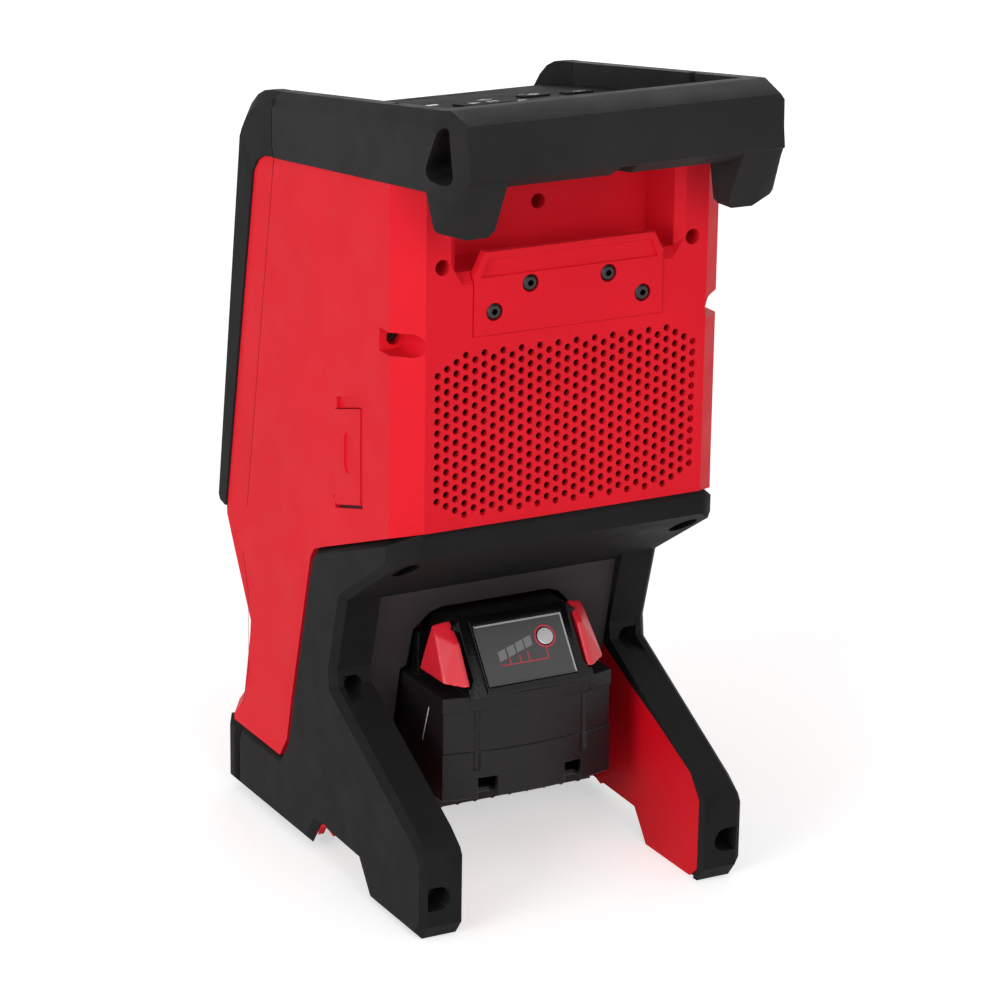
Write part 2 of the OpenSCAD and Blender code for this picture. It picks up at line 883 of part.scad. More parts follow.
module control_board() {
    color(BOARD)
        on_top()
            difference() {
                union() {
                    translate([-58, -45, deck_h - 11.6])
                        cube([116, 62, 1.6]);
                    for (p = key_at)
                        translate([p[0] - 3, p[1] - 3, deck_h - 10.1])
                            cube([6, 6, 1.4]);
                    translate([-16, -8, deck_h - 13])
                        cube([12, 12, 1.5]);
                }
                for (x = [-54, 54], s = [-41, 13])
                    translate([x, s, deck_h - 20])
                        cylinder(r = 1.6, h = 20);
            }
}

// Drivers

module woofer_frame(at) {
    color(SOFT_BLACK)
        driver_frame(at) {
            difference() {
                union() {
                    translate([0, 0, -1.5])
                        cylinder(r = woofer_r, h = 2);
                    rotate_extrude()
                        polygon([
                            [woofer_r - 4.5, -1.4], [woofer_r - 6.2, -1.4], [17, -24], [17, -27.5],
                            [20, -27.5], [20, -25]]);
                }
                translate([0, 0, -1.6])
                    cylinder(r = woofer_r - 8, h = 10);
                // Windows between the spokes of the frame
                for (i = [0:5])
                    rotate([0, 0, i * 60])
                        translate([24, 0, -14])
                            cube([16, 11, 9], center = true);
                for (i = [0:3])
                    rotate([0, 0, 45 + i * 90])
                        translate([woofer_r - 2.6, 0, -5])
                            cylinder(r = 1.3, h = 10);
            }
        }
}

// Ring magnet with its plates and pole piece, and an annular gap for the coil
module woofer_magnet(at) {
    color(STEEL)
        driver_frame(at)
            rotate_extrude()
                polygon([
                    [0, -50], [25, -50], [25, -46], [27, -46], [27, -31], [24, -31], [24, -27.5],
                    [11.2, -27.5], [11.2, -46], [9.2, -46], [9.2, -27.5], [0, -27.5]]);
}

// Cone with its dust cap and coil former
module woofer_cone(at) {
    color(PAPER)
        driver_frame(at) {
            rotate_extrude()
                polygon([
                    [woofer_r - 11.6, -3], [woofer_r - 11.6, -4.2], [10.6, -19], [10.6, -36],
                    [9.8, -36], [9.8, -16.6], [woofer_r - 12.8, -3]]);
            translate([0, 0, -17])
                rotate_extrude()
                    intersection() {
                        difference() {
                            translate([0, -14])
                                circle(20);
                            translate([0, -15])
                                circle(20);
                        }
                        square([11, 20]);
                    }
        }
}

// Half-roll rings between each cone and its frame
module woofer_surrounds() {
    color(SOFT_BLACK)
        for (p = [woofer_low, woofer_high])
            driver_frame(p)
                rotate_extrude()
                    translate([woofer_r - 9.7, -3.2])
                        difference() {
                            union() {
                                circle(1.8);
                                translate([1, -0.6])
                                    square([0.7, 2.1]);
                            }
                            circle(1.1);
                            translate([-4, -6])
                                square([8, 5.5]);
                        }
}

module tweeter(side) {
    color(SOFT_BLACK)
        driver_frame([side * tweeter_at[0], tweeter_at[1]]) {
            difference() {
                cylinder(r = tweeter_r, h = 1.8);
                translate([0, 0, 0.6])
                    cylinder(r = 9.6, h = 3);
            }
            translate([0, 0, 0.6 - eps])
                rotate_extrude()
                    intersection() {
                        translate([0, -8])
                            circle(11);
                        square([9, 5]);
                    }
            translate([0, 0, -14])
                cylinder(r = tweeter_r - 3, h = 14 + eps);
        }
}

// Passive radiator behind the rear grille
radiator_r = 34;
radiator_y = 62;

module radiator_at() {
    translate([0, radiator_y, field_z])
        rotate([-90, 0, 0])
            children();
}

module radiator_frame() {
    color(SOFT_BLACK)
        difference() {
            translate([-50, radiator_y - 4, field_z - 36.4])
                cube([100, 5, 77.4]);
            radiator_at()
                translate([0, 0, -10])
                    cylinder(r = radiator_r, h = 20);
            both_sides()
                for (z = [-32, 36])
                    rod_y(45.5, field_z + z, 1.6, radiator_y - 10, radiator_y + 5);
        }
}

module radiator_surround() {
    color(SOFT_BLACK)
        radiator_at()
            rotate_extrude()
                translate([radiator_r - 3.8, -1.6])
                    difference() {
                        union() {
                            circle(3.2);
                            translate([2, -0.6])
                                square([1.8, 1.6]);
                        }
                        circle(2.3);
                        translate([-5, -8])
                            square([10, 7.5]);
                    }
}

module radiator_plate() {
    color(PAPER)
        radiator_at() {
            translate([0, 0, -3.4])
                cylinder(r = radiator_r - 7.4, h = 2);
            translate([0, 0, -9])
                cylinder(r = 12, h = 6);
        }
}

// Electronics

module amplifier_board() {
    color(BOARD)
        difference() {
            union() {
                translate([-69.6, -42, 186])
                    cube([1.6, 84, 62]);
                for (p = [[-30, 196], [-14, 196], [2, 196]])
                    translate([-68.1, p[0], p[1]])
                        rotate([0, 90, 0])
                            cylinder(r = 5, h = 13);
                translate([-68.1, -34, 214])
                    cube([10, 20, 14]);
                translate([-68.1, 18, 192])
                    cube([8, 16, 10]);
            }
            for (y = [-38, 38], z = [190, 244])
                translate([-75, y, z])
                    rotate([0, 90, 0])
                        cylinder(r = 1.7, h = 20);
        }
}

module heat_sink() {
    color(STEEL)
        translate([-67.9, -6, 214]) {
            cube([3, 38, 26]);
            for (i = [0:7])
                translate([2.9, i * 5.1, 0])
                    cube([13, 1.8, 26]);
        }
}

// Port pocket, door and hinge

pin_in = 1.9;
pin_up = 2;

// Frame at the door's lower front corner, x out of the side, y back along the sill
module door_frame() {
    translate([half, door_y, door_z])
        rotate([door_slope, 0, 0])
            children();
}

// Upright-sided door outline, grown by g, from depth x0 to x1
module door_shape(g, x0, x1) {
    shift = tan(door_slope);
    l = door_l * cos(door_slope);
    translate([x0, 0, 0])
        rotate([90, 0, 90])
            linear_extrude(x1 - x0)
                offset(delta = g)
                    polygon([[0, 0], [l, 0], [l + shift * door_h, door_h], [shift * door_h, door_h]]);
}

module door_scoop() {
    shift = tan(door_slope);
    translate([-2, 0, 0])
        rotate([90, 0, 90])
            linear_extrude(4)
                polygon([
                    [shift * door_h + 1, door_h - 1], [shift * door_h + 23.5, door_h - 1],
                    [shift * door_h + 24.5, door_h + 5.4], [shift * door_h + 2.2, door_h + 5.4]]);
}

module port_door() {
    l = door_l * cos(door_slope);
    color(RED)
        door_frame()
            difference() {
                union() {
                    intersection() {
                        door_shape(0, -door_t, 0);
                        translate([-5, -5, pin_up])
                            cube([10, 60, 60]);
                    }
                    translate([-pin_in, 0.9, pin_up])
                        rotate([-90, 0, 0])
                            cylinder(r = pin_in, h = l - 0.6);
                }
                translate([-pin_in, -5, pin_up])
                    rotate([-90, 0, 0])
                        cylinder(r = pin_r + 0.06, h = l + 20);
                // Long oval dish in the face
                translate([0, l / 2 + tan(door_slope) * 23, 23])
                    rotate([-door_slope, 0, 0])
                        rotate([0, 90, 0])
                            translate([0, 0, -0.7])
                                linear_extrude(3)
                                    hull() {
                                        translate([6, 0])
                                            circle(3.1, $fn = 32);
                                        translate([-6, 0])
                                            circle(3.1, $fn = 32);
                                    }
            }
}

module door_pin() {
    color(STEEL)
        door_frame()
            translate([-pin_in, -3.5, pin_up])
                rotate([-90, 0, 0])
                    cylinder(r = pin_r, h = door_l + 6);
}

pocket_depth = 8;
usb_z = 200;
jack_z = 186;

module port_pocket() {
    color(BLACK)
        difference() {
            door_frame() {
                difference() {
                    door_shape(2.2, -wall - pocket_depth, -wall);
                    door_shape(door_gap, -wall - pocket_depth + 1.8, 1);
                }
            }
            translate([60, door_y + 12, usb_z])
                rotate([0, 90, 0])
                    linear_extrude(20)
                        rounded_rect(3.4, 9.2, 1.6);
        }
}

module usb_socket() {
    color(STEEL)
        translate([62.5, door_y + 12, usb_z])
            rotate([0, 90, 0])
                difference() {
                    linear_extrude(7)
                        rounded_rect(3.4, 9.2, 1.6);
                    translate([0, 0, 1])
                        linear_extrude(8)
                            rounded_rect(2.6, 8.4, 1.2);
                }
}

module port_board() {
    color(BOARD) {
        translate([60.9, door_y - 2, 178])
            cube([1.6, 32, 38]);
        translate([62.4, door_y + 4, 182])
            cube([3.6, 6, 8]);
    }
}

// Lower frame, legs and feet

frame_pockets = [[68.2, 155.5], [69.5, 87], [71.4, 19.7]];
frame_pocket_r = [5.2, 4.6, 5.4];
frame_seat_y = [44, -6, 80];

// Screw pocket that opens to the back, flat on its outer side
module frame_pocket(i) {
    at = frame_pockets[i];
    r = frame_pocket_r[i];
    y0 = frame_seat_y[i];
    rod_y(at[0], at[1], r, y0, i == 0 ? 64 : 120);
    rod_y(at[0], at[1], 1.8, y0 - 15, 120);
    if (i > 0)
        translate([at[0], y0, at[1] - r])
            cube([r, 120 - y0, 2 * r]);
}

// Triangular bevel along the underside of both sides, size by size, from y0 to y1
module toe_bevel(size, y0, y1) {
    both_sides()
        translate([0, y1, 0])
            rotate([90, 0, 0])
                linear_extrude(y1 - y0)
                    polygon([
                        [guard - size - 1, -1], [guard + 1, size + 1], [guard + 1, -1]]);
}

module frame_side() {
    difference() {
        slab(frame_outline, leg_in, guard);
        // Hollow leg, closed by the liner; solid where the rear corner is cut off
        difference() {
            union() {
                slab(frame_outline, leg_in + liner_t + 2, guard - wall, wall);
                slab(frame_outline, leg_in - 1, guard - wall, wall + 3);
            }
            translate([0, 50, 120])
                cube([100, 60, 80]);
        }
        slab(liner_room, leg_in - 1, leg_in + liner_t);
        // The liner's lip lies in the notch, inside the outer wall
        slab(lip_room, leg_in - 1, guard - wall);
        // Side foot, open below the floor
        translate([leg_in - 1, -90.5, -1])
            cube([guard - wall - leg_in + 1, 81, 14.4]);
    }
    // Bosses behind the screw pockets
    intersection() {
        slab(frame_outline, leg_in + liner_t, guard - wall + 0.4, 0.5);
        union() {
            rod_y(frame_pockets[0][0], frame_pockets[0][1], 7.5, 20, 64);
            rod_y(frame_pockets[1][0], frame_pockets[1][1], 7.5, -20, 14);
            rod_y(frame_pockets[2][0], frame_pockets[2][1], 8.2, 60, 94);
        }
    }
}

module lower_frame() {
    color(BLACK)
        difference() {
            union() {
                both_sides()
                    frame_side();
                // Arch over the battery bay, open towards the housing
                difference() {
                    slab(arch_outline, -leg_in - eps, leg_in + eps);
                    slab([[66, 200], [66, 164.5], [18, 134.6], [9, 131], [-30, 170]], -leg_in + 3, leg_in - 3);
                }
                // Raised floor between the side feet
                translate([-guard + 1, -93.5, 13.4])
                    cube([guard_w - 2, 71, 2.6]);
                slab(
                    [[-93.5, 13.4], [-93.5, 27.9], [-90.1, 35.3], [-87.2, 35.3], [-90.5, 27.9], [-90.5, 13.4]],
                    1 - guard, guard - 1);
            }
            // Rear corners cut like the housing's
            both_sides()
                translate([guard + 0.3, back_y - 11.5, 100])
                    rotate([0, 0, 43])
                        translate([0, 0, 50])
                            cube([40, 40, 140]);
            toe_bevel(6.6, -120, -10);
            both_sides()
                for (i = [0:2])
                    frame_pocket(i);
            bay_room();
        }
}

module frame_screws() {
    color(STEEL)
        both_sides() {
            for (i = [0:2])
                screw_back(frame_pockets[i][0], frame_seat_y[i], frame_pockets[i][1], 3.6, 2.6, 1.8, 14);
        }
}

module leg_liner() {
    slab(liner_outline, leg_in, leg_in + liner_t, 0.05);
    slab(
        concat(lip_line, [for (i = [3:-1:0]) lip_line[i] - [0, lip_drop]]), guard - wall - lip_w,
        guard - wall - 0.1);
    // Web that carries the lip, under the leg's lower wall
    slab([[2, 15.4], [2, 14], [-5, 16.1], [-5, 17.5]], leg_in, guard - wall - 0.1);
}

// Pan that closes the housing under the bay, with ribs on its rear underside
module base_pan() {
    color(BLACK)
        difference() {
            union() {
                translate([-leg_in + 0.2, -22.4, 13.4])
                    cube([2 * leg_in - 0.4, 15, 2.6]);
                for (i = [-6:6])
                    translate([i * 9, -7.4, 15])
                        rotate([90, 0, 0])
                            cylinder(r = 2.2, h = 8, $fn = 8);
            }
            translate([-70, -40, 16])
                cube([140, 60, 20]);
        }
}

module front_foot() {
    color(BLACK)
        difference() {
            slab(foot_outline, -guard, guard);
            translate([-guard + 4, -98.6, 4])
                cube([guard_w - 8, 20, 40]);
            toe_bevel(6.6, -120, -90);
            // Front corners
            both_sides()
                translate([0, 0, -1])
                    linear_extrude(60)
                        polygon([[guard - 6.6, -111], [guard + 1, -99.8], [guard + 1, -111]]);
        }
}

// Battery bay: back wall, tub and the shoe that holds the pack's rails

bay_half = pack_half + pack_gap + 0.8;
bay_wall = [[11, 127.4], [8.4, 127.4], [-6.2, 62], [-6.2, 16.2], [-3.6, 16.2], [-3.6, 62]];

module battery_bay() {
    color(SOFT_BLACK)
        difference() {
            union() {
                slab(bay_wall, -leg_in + 0.1, leg_in - 0.1);
                translate([-46.8, -82.4, 34.8])
                    cube([93.6, 79, 71.8]);
            }
            // Room for the pack's body
            translate([-bay_half, pack_front - 2, pack_z - pack_gap])
                cube([2 * bay_half, 140, pack_top + pack_gap - pack_z + pack_gap]);
            // Rail slot: narrow mouth with a wider channel above it
            translate([-tower_half - pack_gap, pack_front - 1, 80])
                cube([2 * (tower_half + pack_gap), 140, tower_z + pack_gap - 80]);
            translate([-rail_half - pack_gap, pack_front - 1, 94])
                cube([2 * (rail_half + pack_gap), 140, tower_z + pack_gap - 94]);
            // Room for the hump and the release buttons
            translate([0, 40, 0])
                rotate([90, 0, 0])
                    linear_extrude(44.4)
                        polygon([
                            [-bay_half, 80], [bay_half, 80], [bay_half, 88.6], [41, 90],
                            [39.8, 108], [32.6, 115.4], [27, 117.4], [-27, 117.4],
                            [-32.6, 115.4], [-39.8, 108], [-41, 90], [-bay_half, 88.6]]);
            // Cores that lighten the shoe
            both_sides()
                translate([31, -70, 93])
                    cube([12.5, 58, 20]);
        }
}

module bay_contacts() {
    color(BRASS)
        for (x = [-16, -8, 8, 16])
            translate([x - 0.4, pack_front - 0.95, 92])
                cube([0.8, 26.95, 6]);
}

// Battery pack

// Plan of the pack with its bowed rear face, grown by g
module pack_plan(g) {
    intersection() {
        translate([0, (pack_back + pack_front) / 2])
            rounded_rect(pack_w + 2 * g, pack_back - pack_front + 2 * g, 5);
        translate([0, pack_back - pack_crown_r])
            circle(pack_crown_r + g, $fn = 180);
    }
}

// Upright grooves in the rear face, from z0 to z1
module pack_grooves(z0, z1) {
    x = 27;
    y = pack_back - pack_crown_r + sqrt(pack_crown_r * pack_crown_r - x * x);
    both_sides()
        translate([x, y + 1.1, z0])
            cylinder(r = 2.1, h = z1 - z0);
}

module pack_lower_case() {
    color(BLACK)
        difference() {
            translate([0, 0, pack_z])
                linear_extrude(pack_step - pack_z)
                    pack_plan(0);
            translate([0, 0, pack_z + 2.5])
                linear_extrude(40)
                    pack_plan(-2.5);
            // Screw holes with seats for the heads
            both_sides()
                for (y = [-66, 24])
                    translate([pack_screw_x, y, 0]) {
                        cylinder(r = 1.6, h = 50);
                        cylinder(r = 3, h = pack_z + 1.9);
                    }
            // Drain slots in the rear face
            both_sides()
                translate([17, 38, pack_z - 1])
                    cube([9, 20, 10.7]);
            pack_grooves(52, 70);
        }
}

module pack_upper_case() {
    color(BLACK)
        difference() {
            union() {
                translate([0, 0, pack_step])
                    linear_extrude(80 - pack_step)
                        pack_plan(-0.5);
                translate([0, 0, 80 - eps])
                    linear_extrude(pack_top - 80 + eps)
                        pack_plan(0);
                intersection() {
                    slab(hump_outline, -hump_half, hump_half);
                    union() {
                        label_frame()
                            translate([0, -hump_crown_r, -30])
                                cylinder(r = hump_crown_r, h = 100, $fn = 180);
                        translate([-label_half - 1, 0, 80])
                            cube([2 * label_half + 2, 60, 60]);
                    }
                    rotate([90, 0, 0])
                        translate([0, 0, -60])
                            linear_extrude(70)
                                polygon([
                                    [-hump_half, 80], [hump_half, 80], [hump_half, 113.2],
                                    [26, 116.5], [-26, 116.5], [-hump_half, 113.2]]);
                }
                // Terminal tower with its rails
                translate([-tower_half, -62, pack_top - 1])
                    cube([2 * tower_half, 61, tower_z - pack_top + 1]);
                translate([-rail_half, -60, 94.8])
                    cube([2 * rail_half, 59, tower_z - 94.8]);
                both_sides()
                    translate([hump_half - 1, 2, pack_top - 1])
                        cube([8.4, 7, 21]);
            }
            // Hollow for the cells
            translate([0, 0, pack_step - 1])
                linear_extrude(pack_top - 2.5 - pack_step + 1)
                    pack_plan(-3);
            pack_grooves(pack_step - 1, 80);
            // Pockets for the release buttons
            both_sides()
                translate([release_in - release_travel - 0.3, 0, 0])
                    release_shape(0.35, 20);
            // Terminal slots in the tower
            for (x = [-16, -8, 8, 16])
                translate([x - 1.2, -70, 89])
                    cube([2.4, 26, 14]);
            // Seat of the label panel
            label_frame() {
                translate([-label_half - 0.2, -0.8, 0.7])
                    cube([2 * label_half + 0.4, 6, 28.4]);
                translate([gauge_at[0], -5, gauge_at[1]])
                    rotate([-90, 0, 0])
                        cylinder(r = gauge_r + 0.3, h = 10);
            }
        }
}

// Profile of a release button in the side of the hump, grown by g and l thick
module release_shape(g, l) {
    rotate([90, 0, 90])
        linear_extrude(l)
            offset(delta = g)
                hull()
                    polygon(release_outline);
}

module release_button() {
    hull() {
        translate([release_in, 0, 0])
            release_shape(0, 2.6);
        for (p = release_corners)
            translate(p)
                cube(0.1);
    }
}

// Frame of the hump's sloping rear face: y out of the face, z up it, its foot at the origin
module label_frame() {
    translate([0, 45.9, 90.1])
        rotate([label_tilt, 0, 0])
            children();
}

module pack_label() {
    color(GREY)
        difference() {
            label_frame()
                translate([-label_half, -0.8, 0.9])
                    cube([2 * label_half, 1.3, 28]);
            label_frame()
                translate([gauge_at[0], -5, gauge_at[1]])
                    rotate([-90, 0, 0])
                        cylinder(r = gauge_r + 0.3, h = 10);
        }
}

module gauge_button() {
    color([0.8, 0.8, 0.82])
        label_frame()
            translate([gauge_at[0], -2.6, gauge_at[1]])
                rotate([-90, 0, 0])
                    cylinder(r = gauge_r, h = 3.8);
}

// Five cells, lying across the pack
module pack_cells() {
    color([0.20, 0.45, 0.60])
        for (y = [0:4])
            translate([-32.5, pack_front + 15 + y * 20, 52])
                rotate([0, 90, 0])
                    cylinder(r = 9.2, h = 65);
}

module pack_contacts() {
    color(BRASS)
        both_sides()
            for (x = [8, 16])
                translate([x + 0.45, -58, 89.2])
                    cube([0.6, 13, 9]);
}

pack_screw_x = 37;

module pack_screws() {
    color(STEEL)
        both_sides()
            for (y = [-66, 24])
                translate([pack_screw_x, y, pack_z + 1.9])
                    rotate([180, 0, 0])
                        screw(2.8, 1.7, 1.4, 18);
}

front_housing();
rear_housing();
rear_grille();
front_bezel();
front_grille();
speaker_baffle();
front_gasket();
rear_bumper();
control_panel();
control_board();
key(0);  // power_key
key(1);  // volume_down_key
key(2);  // play_key
key(3);  // volume_up_key
key(4);  // pairing_key
status_lens();
woofer_frame(woofer_low);  // woofer_frame_low
woofer_frame(woofer_high);  // woofer_frame_high
woofer_magnet(woofer_low);  // woofer_magnet_low
woofer_magnet(woofer_high);  // woofer_magnet_high
woofer_cone(woofer_low);  // woofer_cone_low
woofer_cone(woofer_high);  // woofer_cone_high
woofer_surrounds();
tweeter(-1);  // tweeter_left
tweeter(1);  // tweeter_right
radiator_frame();
radiator_surround();
radiator_plate();
amplifier_board();
heat_sink();
port_pocket();
port_board();
usb_socket();
port_door();
door_pin();
hang_plate();
plate_screws();
housing_screws();
lower_frame();
color(RED) mirror([1, 0, 0]) leg_liner();  // leg_liner_left
color(RED) leg_liner();  // leg_liner_right
base_pan();
front_foot();
frame_screws();
battery_bay();
bay_contacts();
pack_lower_case();
pack_upper_case();
pack_cells();
pack_contacts();
pack_label();
gauge_button();
color(RED) mirror([1, 0, 0]) release_button();  // release_left
color(RED) release_button();  // release_right
pack_screws();
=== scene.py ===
"""Looks of an upright jobsite loudspeaker with a slide-in battery pack and a carry handle."""

import math

import bmesh
import bpy
from mathutils import Matrix, Vector


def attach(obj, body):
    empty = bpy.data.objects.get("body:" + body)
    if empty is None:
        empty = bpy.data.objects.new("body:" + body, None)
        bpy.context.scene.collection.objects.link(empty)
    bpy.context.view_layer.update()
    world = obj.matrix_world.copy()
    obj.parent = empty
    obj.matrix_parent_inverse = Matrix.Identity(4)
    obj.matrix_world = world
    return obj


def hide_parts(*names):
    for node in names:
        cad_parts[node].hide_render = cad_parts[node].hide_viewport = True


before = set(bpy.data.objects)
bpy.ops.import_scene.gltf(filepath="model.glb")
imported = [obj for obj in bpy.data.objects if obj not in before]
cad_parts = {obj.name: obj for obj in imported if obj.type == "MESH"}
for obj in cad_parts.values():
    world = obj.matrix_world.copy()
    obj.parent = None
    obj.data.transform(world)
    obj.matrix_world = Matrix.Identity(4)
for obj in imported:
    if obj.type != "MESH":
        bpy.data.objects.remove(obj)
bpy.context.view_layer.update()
MM = 0.001
LEAN = math.radians(8.5)

SPEAKER = "speaker"
PACK = "battery_pack"

# Corners nearer than this, in metres, are one corner of a copied mesh
SAME_CORNER = 0.00002
# Faces that turn less than this, in degrees, are one flat face
FLAT_WITHIN = 0.6
# Edges that turn less than this, in degrees, are shaded smoothly
SMOOTH_WITHIN = 32
# The lower frame's and front foot's side faces lie beyond this, in millimetres from the middle
SIDE_FACE = 79.5
# Width of the chamfer round those faces, in millimetres
FRAME_RIM = 3.2
# The rim of a side face turns by more than this, in radians
RIM_TURN = 1.2
# Depth, in metres, behind which the feet have their fixing holes close to the rim, and the share
# of the chamfer's width that fits there
HOLED_BACK = 0.094
BESIDE_HOLES = 0.7
# Height of the pack's deck, in metres, over which its hump rises
PACK_DECK = (0.0872, 0.0878)

# Steps of edit mode that most pieces need
ALL = (bpy.ops.mesh.select_all, {"action": "SELECT"})
OUTWARDS = (bpy.ops.mesh.normals_make_consistent, {"inside": False})


# Selecting and shaping

def deselect():
    """Leave nothing selected, so that an operator acts only on what is picked next."""
    for thing in bpy.context.selected_objects:
        thing.select_set(False)


def pick(piece):
    """Make this the only selected piece, and the active one."""
    deselect()
    piece.select_set(True)
    bpy.context.view_layer.objects.active = piece


def named(name):
    """Name what was just added and its mesh."""
    piece = bpy.context.object
    piece.name = name
    piece.data.name = name
    return piece


def modify(piece, kind, **settings):
    """Add a modifier with these settings and apply it at once."""
    pick(piece)
    modifier = piece.modifiers.new(kind.lower(), kind)
    for key, value in settings.items():
        setattr(modifier, key, value)
    bpy.ops.object.modifier_apply(modifier=modifier.name)


def edit(piece, *steps):
    """Run each (operator, settings) step in edit mode on the whole mesh or what is picked."""
    pick(piece)
    bpy.ops.object.mode_set(mode="EDIT")
    for step, settings in steps:
        step(**settings)
    bpy.ops.object.mode_set(mode="OBJECT")


def settle(piece):
    """Put the piece's place, turn and size into its mesh."""
    pick(piece)
    bpy.ops.object.transform_apply(location=True, rotation=True, scale=True)
    return piece


def chamfer_outline(piece, width):
    """Chamfer the rim of the side faces, less widely beside the holes at the far back."""
    mesh = bmesh.new()
    mesh.from_mesh(piece.data)
    weight = mesh.edges.layers.float.new("bevel_weight_edge")
    for edge in mesh.edges:
        at_side = min(abs(vert.co.x) for vert in edge.verts) > SIDE_FACE * MM
        far_back = min(vert.co.y for vert in edge.verts) > HOLED_BACK
        if at_side and edge.calc_face_angle(0.0) > RIM_TURN:
            edge[weight] = BESIDE_HOLES if far_back else 1.0
    mesh.to_mesh(piece.data)
    mesh.free()
    modify(
        piece, "BEVEL", width=width * MM, segments=1, limit_method="WEIGHT",
        use_clamp_overlap=False, miter_outer="MITER_SHARP",
    )


def round_edges(piece, width, segments=2, angle=28, clamp=True):
    """Break the sharp edges as a mould does, then shade what is curved smoothly."""
    modify(
        piece, "BEVEL", width=width * MM, segments=segments, limit_method="ANGLE",
        angle_limit=math.radians(angle), use_clamp_overlap=clamp,
        miter_outer="MITER_ARC" if clamp else "MITER_SHARP",
    )
    pick(piece)
    bpy.ops.object.shade_smooth_by_angle(angle=math.radians(SMOOTH_WITHIN))
    modify(piece, "WEIGHTED_NORMAL", keep_sharp=True, weight=80)


def moulded_copy(node, name):
    """Copy of a CAD node with its loose triangles merged into whole faces."""
    deselect()
    piece = bpy.data.objects.new(name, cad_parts[node].data.copy())
    piece.data.name = name
    bpy.context.scene.collection.objects.link(piece)
    edit(
        piece,
        ALL,
        (bpy.ops.mesh.remove_doubles, {"threshold": SAME_CORNER}),
        (bpy.ops.mesh.dissolve_limited, {"angle_limit": math.radians(FLAT_WITHIN)}),
    )
    return piece


def dress(piece, finish, slot, body, *nodes):
    """Give the piece its finish and its body, and let it stand for these nodes; the slot is not
    used.
    """
    piece.data.materials.clear()
    piece.data.materials.append(finish)
    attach(piece, body)
    if nodes:
        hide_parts(*nodes)
    return piece


# Finishes

def start_finish(name, colour, roughness):
    """New material: its nodes, links, shader and the piece's own coordinates."""
    finish = bpy.data.materials.new(name)
    finish.use_nodes = True
    tree = finish.node_tree
    shader = tree.nodes["Principled BSDF"]
    shader.inputs["Base Color"].default_value = (*colour, 1)
    shader.inputs["Roughness"].default_value = roughness
    place = tree.nodes.new("ShaderNodeTexCoord")
    return finish, tree, shader, place.outputs["Object"]


def noise(tree, place, scale, detail, rough):
    """Noise of this many grains to the metre."""
    node = tree.nodes.new("ShaderNodeTexNoise")
    node.inputs["Scale"].default_value = scale
    node.inputs["Detail"].default_value = detail
    node.inputs["Roughness"].default_value = rough
    tree.links.new(place, node.inputs["Vector"])
    return node.outputs["Fac"]


def ranged(tree, value, low, high, to_low, to_high):
    """The value moved from one range to another, clamped."""
    node = tree.nodes.new("ShaderNodeMapRange")
    for index, number in enumerate((low, high, to_low, to_high)):
        node.inputs[index + 1].default_value = number
    tree.links.new(value, node.inputs[0])
    return node.outputs[0]


def tinted(tree, value, dark, light):
    """Colour between two tints, as the value runs from 0 to 1."""
    ramp = tree.nodes.new("ShaderNodeValToRGB")
    ramp.color_ramp.elements[0].color = (*dark, 1)
    ramp.color_ramp.elements[1].color = (*light, 1)
    tree.links.new(value, ramp.inputs[0])
    return ramp.outputs[0]


def relief(tree, shader, height, depth, strength, under=None):
    """Bump of this depth in millimetres, on top of another bump where one is given."""
    bump = tree.nodes.new("ShaderNodeBump")
    bump.inputs["Distance"].default_value = depth * MM
    bump.inputs["Strength"].default_value = strength
    tree.links.new(height, bump.inputs["Height"])
    if under:
        tree.links.new(under, bump.inputs["Normal"])
    tree.links.new(bump.outputs[0], shader.inputs["Normal"])
    return bump.outputs[0]


def scaled(colour, factor):
    """The colour made darker or lighter by this factor."""
    return tuple(min(1.0, part * factor) for part in colour)


def moulded_plastic(name, colour, roughness, grain, depth, mottle, gloss):
    """Injection-moulded plastic: faint flow mottle, spark-eroded grain and uneven sheen."""
    finish, tree, shader, place = start_finish(name, colour, roughness)
    flow = noise(tree, place, 16, 4, 0.6)
    cloud = ranged(tree, flow, 0.32, 0.68, 0, 1)
    tone = tinted(tree, cloud, scaled(colour, 1 - mottle), scaled(colour, 1 + mottle))
    tree.links.new(tone, shader.inputs["Base Color"])
    spark = noise(tree, place, grain, 2.5, 0.6)
    wipe = noise(tree, place, 60, 5, 0.65)
    sheen = ranged(tree, wipe, 0.3, 0.7, roughness - 0.05, roughness + 0.06)
    tree.links.new(sheen, shader.inputs["Roughness"])
    ripple = relief(tree, shader, flow, 0.25, 0.25)
    relief(tree, shader, spark, depth, 0.8, ripple)
    shader.inputs["Specular IOR Level"].default_value = gloss
    return finish


